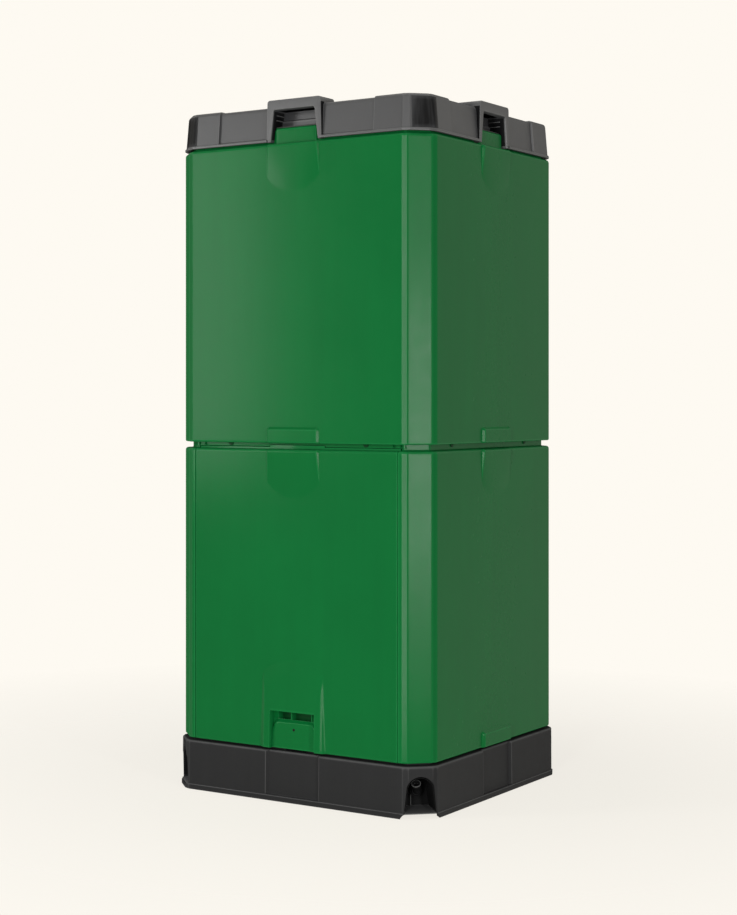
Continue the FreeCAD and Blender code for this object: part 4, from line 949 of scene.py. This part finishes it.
class BIN_OT_lid(Operator):
    """The lid: drafted corner walls, a crowned roof, four bridge handles and the pockets behind them"""

    bl_idname = "bin.lid"
    bl_label = "Lid"

    # Draft of the walls, their inset at the lid's foot, and the height of the hem there
    DRAFT, START, HEM = math.tan(math.radians(4.7)), 2.0, 4.5
    # Panels in the middle of the sides: half length, ramp at the ends, and how far they are sunk and lowered
    MID, RAMP, SUNK, LOWERED = 153.0, 1.4, 3.5, 2.0
    # Where walls and roof meet: inset of the line, and how far the roof's edge goes down behind it
    ROOF_EDGE, ROOF_DEEP = 14.5, 8.0
    # Outer and inner line of a bridge: half width at foot and head, height of the head, corner radius
    OUTER = (54.5, 52.5, 1175.0, 5)
    INNER = (46.5, 40.0, 1158.0, 4)

    def execute(self, context):
        self.walls()
        self.bridges()
        self.cheeks()
        self.corner_plates()
        return {"FINISHED"}

    def lean(self, z):
        """Inset of the walls at a height: the start plus the height over the lid's foot times the draft."""
        return self.START + (z - LID[0]) * self.DRAFT

    def panel(self, stations):
        """One on the panels in the middle of the sides and zero beyond them, eased over the ramp."""
        share = 1 - ease((np.abs(stations[:, ALONG]) - self.MID) / self.RAMP + 0.5)
        return np.where(stations[:, KIND] == FACE, share, 0)

    def hoop(self, line):
        """A bridge's line in (across, height): up one leg, over the head with its round corners and down."""
        foot, head, top, radius = line
        low = LID[0]
        return rounded([(-foot, low, 0), (-head, top, radius), (head, top, radius), (foot, low, 0)],
                       closed=False, steps=8)

    def leg(self, line, z):
        """Half width of a bridge's line at a height, straight from its foot to its head."""
        foot, head, top = line[:3]
        return foot + (head - foot) * (z - LID[0]) / (top - LID[0])

    def outline(self):
        """The lid's outline from above: the tiers' square with a smaller cut and larger rounds."""
        return Outline(sizes()["tier_half"], 34.5, 28.0)

    def walls(self):
        """Corner walls and roof: a closed section carried round, its faces sunk between the corners."""
        outline = self.outline()
        low, top = LID
        hem, edge = low + self.HEM, self.ROOF_EDGE
        heights = runs((1111, 1116, 6), (1120, 1154, 8), (1156.5, 1159.5, 4))
        rows = [(self.lean(z), z, 0) for z in heights]
        section = rounded([(6, low, 0.5), (0, low, 1.2), (0, hem, 1.2), (self.lean(hem), hem, 0.6), *rows,
                           (self.lean(top), top, 6), (edge, top, 0), (edge, top - self.ROOF_DEEP, 0),
                           (12.8, hem, 0)])
        half_face = runs((53.5, 56, 3), (60, 149, 7), (151.4, 152, 2), (152.2, 153.8, 9), (154, 154.6, 2),
                         (158, outline.side - 1, 4), (outline.side - 0.8, outline.side, 2))
        skin = Skin()
        for number in range(4):
            stations = np.concatenate([outline.face(number, half_face), outline.corner(number),
                                       outline.face((number + 1) % 4, -half_face[::-1])])
            skin.bar(self.sunk(outline, section, stations))
        self.roof(skin, outline)
        finished(skin.build("lid_body"), "lid", "lid_plastic", "lid_shell")

    def sunk(self, outline, section, stations):
        """Points of the wall: the panels moved in over the hem and their tops down, fading to the roof."""
        inset, z = section[:, :1], section[:, 1:]
        outside = (np.arange(len(section)) < len(section) - 2)[:, None]
        begin, blend, fade, high = 4.0, 1.5, 7.5, 9.0
        mid = self.panel(stations)
        away = np.clip((self.ROOF_EDGE - inset) / fade, 0, 1)
        wall = ease((z - (LID[0] + begin)) / blend) * outside * away
        flat = outline.place(stations, inset + self.SUNK * mid * wall)
        tall = z - self.LOWERED * mid * ease((z - LID[1] + high) / high) * outside
        return raise_rows(flat, tall)

    def roof(self, skin, outline):
        """Roof and crown: rings that pass from the wall's top to a smaller outline raised by a slope."""
        crown = Outline(192.0, 37.0, 28.0)
        side, mid, half = outline.side, self.MID, self.RAMP / 2
        lines = runs((-side, side, 41), (-mid - half, -mid + half, 3), (mid - half, mid + half, 3),
                     (-side + 0.8, side - 0.8, 2))
        stations = outline.ring(lines)
        shrink = np.where(stations[:, KIND] == FACE, crown.side / side, crown.flat / outline.flat)
        inner = stations.copy()
        inner[:, ALONG] *= shrink
        top, edge = LID[1], self.ROOF_EDGE
        # Inset, drop and share of the panels' lowering, ring by ring from the walls to the crown's foot
        rings = [(edge, self.ROOF_DEEP, 0), (edge, 0, 1), (30.0, 0, 1), (44.0, 0, 1), (46.0, 0, 0)]
        inset, drop, share = np.array(rings).T[..., None]
        rim_z = top - drop - share * self.LOWERED * self.panel(stations)
        high = top + 6
        rows = rounded([(-10.0, top, 0), (0.0, top, 4), (10.4, high, 4), (26.0, high, 0)], closed=False)
        crown_z = np.broadcast_to(rows[:, 1:], (len(rows), len(stations)))
        flat = np.concatenate([outline.place(stations, inset), crown.place(inner, rows[:, :1])])
        skin.tube(raise_rows(flat, np.concatenate([rim_z, crown_z])))

    def bridges(self):
        """Bridge handles: a section carried up one leg, across and down the other, and the pocket's back.

        Each row of the section is a line, how far it is moved towards the inner side, and a depth.
        """
        outer, inner = self.hoop(self.OUTER), self.hoop(self.INNER)
        toward = (inner - outer) / np.linalg.norm(inner - outer, axis=1, keepdims=True)
        t = np.linspace(0, math.pi / 2, 5)
        lip, front = 1.0, -247.5
        rows = [(outer, 0.0, -204.0), (outer, 0.0, -228.0)]
        rows += [(outer, lip * (1 - math.cos(a)), front + lip * (1 - math.sin(a))) for a in t]
        rows += [(outer, lip + 0.6, front), (inner, -2.4, front), (inner, -1.8, front),
                 (inner, -1.4, front + 0.2), (inner, -0.5, front + 1.0), (inner, 0.0, front + 1.9),
                 (inner, 0.0, -213.0)]
        grid = np.stack([np.stack([line[:, 0] + toward[:, 0] * off, np.full(len(line), y),
                                   line[:, 1] + toward[:, 1] * off], axis=-1) for line, off, y in rows])
        skin = Skin()
        for number in range(4):
            skin.bar(turned(grid, number), flip=True)
            self.pocket(skin, number)
        finished(skin.build("lid_bridges"), "lid", "lid_plastic", "lid_shell")

    def cheeks(self):
        """Painted shade at both sides of each pocket and bridge: dark leaning sheets, with two ribs a side.
        """
        y, z = np.meshgrid(runs((-244, -214, 4)), runs((1109, 1156.5, 5)))
        deep, high = np.meshgrid(runs((-246.2, -236, 4)), runs((1107, 1166, 6)))
        inside, outside = self.leg(self.INNER, z), self.leg(self.OUTER, high)
        dark = Skin()
        ribs = Skin()
        for side in (-1, 1):
            sheet = np.stack([side * (inside - 0.5), y, z], axis=-1)
            rear = np.stack([side * (inside + 0.8), y, z], axis=-1)
            wall = np.stack([side * (outside + 0.3), deep, high], axis=-1)
            wall_rear = np.stack([side * (outside - 0.6), deep, high], axis=-1)
            small = Skin()
            for tall, wide in ((1141.5, 41.5), (1149.5, 40.5)):
                near, far = sorted((side * (wide - 2.4), side * (wide + 1.5)))
                small.block((near, -237.0, tall), (far, -216.0, tall + 1.2), 0.3, 2)
            for number in range(4):
                slab(dark, sheet, rear, number, side > 0)
                slab(dark, wall, wall_rear, number, side < 0)
                ribs.merge(small, lambda points: turned(points, number))
        finished(dark.build("pocket_linings"), "lid", "deep_black")
        finished(ribs.build("pocket_ribs"), "lid", "lid_plastic")

    def corner_plates(self):
        """Painted reflection at the corners: near black sheets with painted light streaks over the corner
        flat and the round after it, a little proud.
        """
        outline = self.outline()
        z = runs((1110.2, 1161, 9))[:, None]
        inset = self.lean(z)
        skin = Skin()
        for number in range(4):
            stations = outline.corner(number)
            after = outline.face((number + 1) % 4, np.array([-outline.side, 4.0 - outline.side]))
            stations = np.concatenate([stations[np.argmax(stations[:, KIND] == FLAT):], after])
            slab(skin, raise_rows(outline.place(stations, inset - 0.35), z),
                 raise_rows(outline.place(stations, inset + 0.6), z))
        finished(skin.build("lid_corners"), "lid", "lid_gloss")

    def pocket(self, skin, number):
        """The wall behind a bridge: a sheet with a ledge half way up, and its back."""
        ledge, ledge_deep, blend = 1142.0, 3.0, 2.4
        x = runs((-53, 53, 12))
        z = runs((1131.5, ledge, 4), (ledge, 1145, 5), (1145, 1160, 4))
        wide, tall = np.meshgrid(x, z)
        front = -214.0 - ledge_deep * (1 - ease((tall - ledge) / blend))
        rear = np.full_like(wide, -210.0)
        slab(skin, np.stack([wide, front, tall], axis=-1), np.stack([wide, rear, tall], axis=-1), number)


class BIN_OT_base(Operator):
    """The plinth: a section carried round the outline, sunk side panels and a vaulted niche a corner"""

    bl_idname = "bin.base"
    bl_label = "Plinth"

    # A niche's arch: height and radius of its crown, half widths at the crown's ends and at the foot
    APEX, ARC, SHOULDER, FOOT = 66.0, 22.9, 21.5, 26.3
    # Back wall of a niche along the diagonal
    BACK = 287.0
    # Stops of a niche's cutter: place along the diagonal, growth of the arch, height of the floor
    STOPS = ((BACK, 0.0, 13.0), (322.0, 0.0, 9.5), (326.0, 0.3, 8.8), (330.5, 1.4, 8.0), (345.0, 5.0, 5.0))
    # Panels in the middle of the sides: half length, ramp at the ends and depth
    PANEL_HALF, PANEL_RAMP, PANEL_DEEP = 53.0, 4.4, 4.5

    def execute(self, context):
        outline = Outline(sizes()["tier_half"], 34.5, 18.0)
        top, under, lip, draft = PLINTH_TOP, PLINTH_TOP - 6, 9.5, 0.01
        lines = both_ways(runs((0, 42, 4), (47.4, 54.2, 18), (58, 190, 6),
                               (outline.side - 0.8, outline.side, 2)))
        stations = outline.ring(lines)
        rows = [(-4 + (z - lip) * draft, z, 0) for z in runs((14, 78, 6))]
        section = rounded([(6, 0, 0), (-5.5, 0, 0.8), (-5.5, lip, 1.2), (-4, lip, 0.4), *rows,
                           (-3.3, top, 3), (13.5, top, 1.5), (13.5, 113, 2), (17.5, 113, 0.8),
                           (17.5, top, 0.5), (27.5, top, 0.5), (27.5, under, 0), (6, under, 0)])
        inset, z = section[:, :1], section[:, 1:]
        ramp = np.clip((self.PANEL_HALF - np.abs(stations[:, ALONG])) / self.PANEL_RAMP, 0, 1)
        sunk = np.where(stations[:, KIND] == FACE, 0.75 * ramp + 0.25 * ease(ramp), 0)
        begin, blend, reach = lip - 0.3, 0.8, 8.0
        outside = (np.arange(len(section)) < len(section) - 4)[:, None]
        panel = (inset < reach) & (z > begin) & (z < top + 0.1) & outside
        depth = self.PANEL_DEEP * sunk * panel * ease((z - begin) / blend)
        skin = Skin()
        skin.patch(raise_rows(outline.place(stations, inset + depth), z), round_u=True, round_v=True)
        plinth = skin.build("plinth")
        carve(plinth, self.niche_blocks(), "UNION")
        carve(plinth, self.vaults(), "DIFFERENCE")
        finished(plinth, "bin", "base_plastic", "base_plinth")
        self.ribs()
        self.linings()
        return {"FINISHED"}

    def linings(self):
        """Painted shade and light in the niches: a dark arch sheet with its back as painted shade, and a
        pale plate on the sloping floor as painted light.
        """
        dark = Skin()
        pale = Skin()
        near = self.arch(-0.4, 14.0)
        far = self.arch(-1.2, 14.0)
        out = np.array([[287.2], [329.0]])
        shell = [cornered(out, line[:, 0], line[:, 1]) for line in (far, near)]
        back = [cornered(np.full(len(far), place), far[:, 0], far[:, 1]) for place in (287.9, 287.1)]
        share, along = np.meshgrid(runs((-1, 1, 9)), runs((288.5, 331.8, 10)))
        across = share * (24.5 + 1.8 * (along - 288.5) / 43.3)
        slope = 13.0 - 3.5 * (along - self.BACK) / 35.0
        plates = [cornered(along, across, slope + rise) for rise in (0.7, -0.6)]
        for number in range(4):
            slab(dark, *shell, number)
            dark.tube(turned(np.stack(back), number))
            slab(pale, *plates, number, True)
        finished(dark.build("niche_linings"), "bin", "deep_black")
        finished(pale.build("niche_floors"), "bin", "lid_plastic")

    def at_corners(self, small):
        """Four copies of a skin that is laid out along a diagonal, one in each corner."""
        skin = Skin()
        for number in range(4):
            skin.merge(small, lambda points: turned(cornered(*points.T), number))
        return skin

    def niche_blocks(self):
        """Housings of the niches behind the corners: blocks with rounded edges, turned to the diagonals."""
        small = Skin()
        small.block((281.5, -31.0, 8.0), (319.0, 31.0, 71.0), 1.5)
        return self.at_corners(small).build("niche_blocks")

    def arch(self, grow, floor):
        """An arch in (across, height): two leaning sides on the floor and an arc over them, all grown."""
        t = np.linspace(0, 1, 25)
        middle = self.APEX - self.ARC
        lean = math.asin(self.SHOULDER / self.ARC)
        angle = math.pi / 2 + lean - 2 * lean * t
        radius, foot = self.ARC + grow, self.FOOT + grow
        crown = np.stack([radius * np.cos(angle), middle + radius * np.sin(angle)], axis=-1)
        return np.concatenate([[[-foot, floor]], crown, [[foot, floor]]])

    def vaults(self):
        """Cutters of the niches: the arch carried out over a sloping floor, and the near gap in the lip."""
        skin = Skin()
        rings = []
        for out, grow, floor in self.STOPS:
            line = self.arch(grow, floor)
            rings.append(cornered(np.full(len(line), out), line[:, 0], line[:, 1]))
        for number in range(4):
            skin.tube(turned(np.stack(rings), number), flip=True)
        vault = skin.build("vaults")
        w = np.linspace(-33.0, 33.0, 25)
        crown = 10.5 * np.sqrt(1 - (w / 33.2) ** 4)
        under = np.full_like(w, -3.0)
        near, far = 312.0, 352.0
        rows = [cornered(np.full_like(w, out), w, tall)
                for out, tall in ((near, under), (near, crown), (far, crown), (far, under))]
        lip = Skin()
        lip.bar(np.stack(rows), flip=True)
        carve(vault, lip.build("lip_cut"), "UNION")
        return vault

    def ribs(self):
        """Stiffeners in the niches: an upright rib on each back wall, and a bead that dips along it."""
        small = Skin()
        small.block((286.0, -6.4, 11.0), (291.5, -4.6, 38.0), 0.7)
        t = np.linspace(0, 1, 25)
        across = 1.0 + 17.0 * t
        z = 36.0 - 7.5 * np.sin(math.pi * t) + 11.0 * t * t
        slope_a, slope_z = np.gradient(across), np.gradient(z)
        ahead = np.stack([slope_a, slope_z]) / np.hypot(slope_a, slope_z)
        around = np.linspace(0, 2 * math.pi, 9)[:-1]
        radius = 0.55
        side = radius * np.cos(around)
        out = self.BACK + 0.3 + radius * np.sin(around)
        bead_a = across[:, None] - side * ahead[1][:, None]
        bead_z = z[:, None] + side * ahead[0][:, None]
        small.tube(np.stack(np.broadcast_arrays(out, bead_a, bead_z), axis=-1))
        finished(self.at_corners(small).build("niche_ribs"), "bin", "lid_plastic")


class BIN_OT_drain(Operator):
    """The drain elbow: a pipe section carried round a bend, with a socket, a collar and an open mouth"""

    bl_idname = "bin.drain"
    bl_label = "Drain elbow"

    # Height of the axis, the bend's lean to one side, the angle it turns by, its radius and where it starts
    AXIS_Z = 40.0
    LEAN, TILT = math.radians(16), math.radians(58)
    BEND, KNEE = 8.0, 305.0
    # Places and radii along the socket, then along the spout, and the pipe's own radius between them
    SOCKET = ((293.8, 9.0), (294.4, 9.5), (303.4, 9.5), (304.0, 7.6))
    SPOUT = ((4.0, 5.4), (9.0, 5.4), (9.3, 7.2), (13.6, 7.2), (14.2, 6.6))
    PIPE = 5.6
    # Radius of the bore at the mouth and at its end, and its depth
    MOUTH, BORE, BORE_DEEP = 5.4, 4.4, 12.0

    def execute(self, context):
        up = np.array([0.0, -math.sin(self.LEAN), math.cos(self.LEAN)])
        out = np.array([1.0, 0.0, 0.0])
        t = np.linspace(0, self.TILT, 13)[:, None]
        arc = self.KNEE * out + self.BEND * (np.sin(t) * out + (1 - np.cos(t)) * up)
        heading = np.cos(t) * out + np.sin(t) * up
        point = heading[-1]
        run, run_radius = np.array(self.SOCKET).T
        reach, reach_radius = np.array(self.SPOUT).T
        path = np.concatenate([run[:, None] * out, arc, arc[-1] + reach[:, None] * point])
        ahead = np.concatenate([np.tile(out, (len(run), 1)), heading, np.tile(point, (len(reach), 1))])
        radius = np.concatenate([run_radius, np.full(len(arc), self.PIPE), reach_radius])
        side = np.cross(out, up)
        rise = np.cross(side, ahead)
        around = np.linspace(0, 2 * math.pi, 41)[:-1, None]
        spokes = np.cos(around) * side + np.sin(around) * rise[:, None]
        outer = path[:, None] + radius[:, None, None] * spokes
        end = path[-1] - self.BORE_DEEP * point
        bore = [path[-1] + self.MOUTH * spokes[-1], end + self.BORE * spokes[-1]]
        skin = Skin()
        skin.tube(self.placed(np.concatenate([outer, bore])), flip=True)
        finished(skin.build("drain_bend"), "elbow", "deep_black", "drain_elbow")
        self.hoops(((path[-2], side, rise[-2], radius[-2]), (path[-4], side, rise[-4], self.PIPE)))
        return {"FINISHED"}

    def placed(self, grid):
        """Points laid out along the drain's axis, put in the near corner."""
        return cornered(grid[..., 0], grid[..., 1], grid[..., 2] + self.AXIS_Z)

    def hoops(self, places):
        """Pale rims of the elbow: rings of wire, each round a centre in the plane of two directions."""
        thick = 0.7
        around = np.linspace(0, 2 * math.pi, 41)[:-1, None]
        wire = np.linspace(0, 2 * math.pi, 9)[:-1, None, None]
        skin = Skin()
        for centre, first, second, radius in places:
            spoke = np.cos(around) * first + np.sin(around) * second
            bulge = np.cos(wire) * spoke + np.sin(wire) * np.cross(first, second)
            skin.patch(self.placed(centre + radius * spoke + thick * bulge), round_u=True, round_v=True)
        finished(skin.build("drain_rims"), "elbow", "lid_plastic")


class BIN_OT_inner(Operator):
    """Finishes on the solids that stay: liners, tray, grate, column, seals, foam and fastenings"""

    bl_idname = "bin.inner"
    bl_label = "Inner pieces"

    # Small pieces in dark gaps, made near black or dark green as painted shade
    DARK = {"latch_keeper": "deep_black", "latch_spring": "deep_black", "latch_rivet": "deep_black",
            "latch_pin": "deep_black", "tier_pegs": "green_deep"}

    def execute(self, context):
        slots = {row["node"]: row["material_slot"] for row in frame["record"]["subparts"]}
        for node, item in frame["nodes"].items():
            item.data.materials.clear()
            item.data.materials.append(finishes()[self.DARK.get(node, slots[node])])
        return {"FINISHED"}


class BIN_OT_stage(Operator):
    """The studio: pale floor that fades into the background, soft lamps and the camera"""

    bl_idname = "bin.stage"
    bl_label = "Studio"

    def execute(self, context):
        self.camera()
        self.world()
        self.floor()
        self.lamps()
        context.scene.view_settings.view_transform = "Standard"
        return {"FINISHED"}

    def camera(self):
        """The camera that was fitted to the photograph: level, with the frame shifted."""
        data = bpy.data.cameras.new("camera")
        data.lens = 73.784
        data.sensor_width = 36.0
        data.shift_x = 0.1386
        data.shift_y = -0.0645
        item = bpy.data.objects.new("camera", data)
        item.location = (1.7025, -2.8719, 0.6742)
        item.rotation_euler = (math.pi / 2, 0, math.radians(34.556))
        bpy.context.scene.collection.objects.link(item)
        bpy.context.scene.camera = item

    def seen(self, finish):
        """One for rays from the camera, a mirror or a clear piece, zero for the rest."""
        straight, glossy, clear = [finish.node("ShaderNodeLightPath", None, None, name)
                                   for name in ("Is Camera Ray", "Is Glossy Ray", "Is Transmission Ray")]
        total = straight + glossy + clear
        return finish.node("ShaderNodeMath", {"operation": "MINIMUM"}, {0: total, 1: 1.0})

    def world(self):
        """The background: its own colour where it is seen, and a faint cool light on the pieces."""
        tone = bpy.context.scene.bin_colours.backdrop
        owner = bpy.data.worlds.new("studio")
        bpy.context.scene.world = owner
        finish = Finish("studio", owner)
        shown = finish.node("ShaderNodeBackground", None, {"Color": (*tone, 1.0), "Strength": 1.0})
        cool = (0.95, 0.97, 1.0, 1.0)
        light = finish.node("ShaderNodeBackground", None, {"Color": cool, "Strength": 0.19})
        both = finish.node("ShaderNodeMixShader", None, {0: self.seen(finish), 1: light, 2: shown})
        finish.node("ShaderNodeOutputWorld", None, {"Surface": both})

    def floor(self):
        """A disc of rings round the origin, its shadow mixed into the background's colour and faded out."""
        tone = bpy.context.scene.bin_colours.backdrop
        reach = np.array([0.0, 0.3, 0.6, 1.0, 1.6, 2.4])[:, None] * 1000
        angle = np.linspace(0, 2 * math.pi, 65)[:-1]
        grid = np.stack(np.broadcast_arrays(reach * np.cos(angle), reach * np.sin(angle), -0.4), axis=-1)
        skin = Skin()
        skin.patch(grid, round_u=True)
        item = skin.build("floor")
        finish = Finish("floor")
        spread = finish.node("ShaderNodeVectorMath", {"operation": "LENGTH"}, {0: finish.where()}, "Value")
        fade = finish.steep(spread, 0.45, 1.5)
        dust = finish.noise(finish.where(), 30.0, 4.0)
        tint = finish.mix(dust * 0.05, (*tone, 1.0), shade(tone, 0.9))
        lit = finish.node("ShaderNodeBsdfDiffuse", None, {"Color": tint})
        glow = finish.node("ShaderNodeEmission", None, {"Color": (*tone, 1.0), "Strength": 1.0})
        clear = finish.node("ShaderNodeBsdfTransparent")
        shown = finish.node("ShaderNodeMixShader", None, {0: 0.8 * self.seen(finish), 1: lit, 2: glow})
        whole = finish.node("ShaderNodeMixShader", None, {0: fade, 1: shown, 2: clear})
        finish.node("ShaderNodeOutputMaterial", None, {"Surface": whole})
        item.data.materials.append(finish.owner)

    def lamps(self):
        """Soft boxes: one in front, a sheen at the left, a wide one overhead and two strips at the right."""
        for name, place, target, wide, tall, power in (
                ("front_box", (0.95, -3.05, 0.6), (0.2, -0.24, 0.6), 0.3, 2.2, 46),
                ("left_box", (-1.6, -2.0, 1.05), (-0.1, -0.25, 0.85), 0.6, 1.2, 22),
                ("top_box", (0.2, -0.4, 3.2), (0, 0, 0.6), 2.4, 2.4, 18),
                ("right_box", (2.85, -1.69, 0.7), (0.24, -0.24, 0.7), 0.2, 2.0, 17),
                ("right_core", (2.84, -1.685, 0.55), (0.24, -0.24, 0.55), 0.2, 0.9, 15)):
            data = bpy.data.lights.new(name, "AREA")
            data.shape = "RECTANGLE"
            data.size = wide
            data.size_y = tall
            data.energy = power
            item = bpy.data.objects.new(name, data)
            place = np.array(place)
            aim = np.array(target) - place
            spin = math.atan2(aim[1], aim[0]) - math.pi / 2
            tilt = math.atan2(aim[2], math.hypot(aim[0], aim[1])) + math.pi / 2
            item.location = place
            item.rotation_euler = (tilt, 0, spin)
            bpy.context.scene.collection.objects.link(item)


class BIN_PT_panel(Panel):
    """Lists the steps of the dress"""

    bl_idname = "BIN_PT_panel"
    bl_label = "Compost bin"
    bl_space_type = "VIEW_3D"
    bl_region_type = "UI"
    bl_category = "Bin"

    def draw(self, context):
        for step in STEPS:
            self.layout.operator(step.bl_idname)
        for group, owner in ((BinSizes, context.scene.bin_sizes), (BinColours, context.scene.bin_colours)):
            for key in group.__annotations__:
                self.layout.prop(owner, key)


STEPS = (BIN_OT_stage, BIN_OT_inner, BIN_OT_tiers, BIN_OT_door, BIN_OT_lid, BIN_OT_base, BIN_OT_drain)
CLASSES = (BinSizes, BinColours, *STEPS, BIN_PT_panel)


def register():
    """Add the classes and the scene's two groups."""
    for item in CLASSES:
        bpy.utils.register_class(item)
    bpy.types.Scene.bin_sizes = PointerProperty(type=BinSizes)
    bpy.types.Scene.bin_colours = PointerProperty(type=BinColours)


def unregister():
    """Take away the scene's groups and the classes."""
    del bpy.types.Scene.bin_colours
    del bpy.types.Scene.bin_sizes
    for item in reversed(CLASSES):
        bpy.utils.unregister_class(item)


def main():
    """Dress the bin step by step."""
    register()
    bpy.ops.bin.stage()
    bpy.ops.bin.inner()
    bpy.ops.bin.tiers()
    bpy.ops.bin.door()
    bpy.ops.bin.lid()
    bpy.ops.bin.base()
    bpy.ops.bin.drain()


if __name__ == "__main__":
    main()
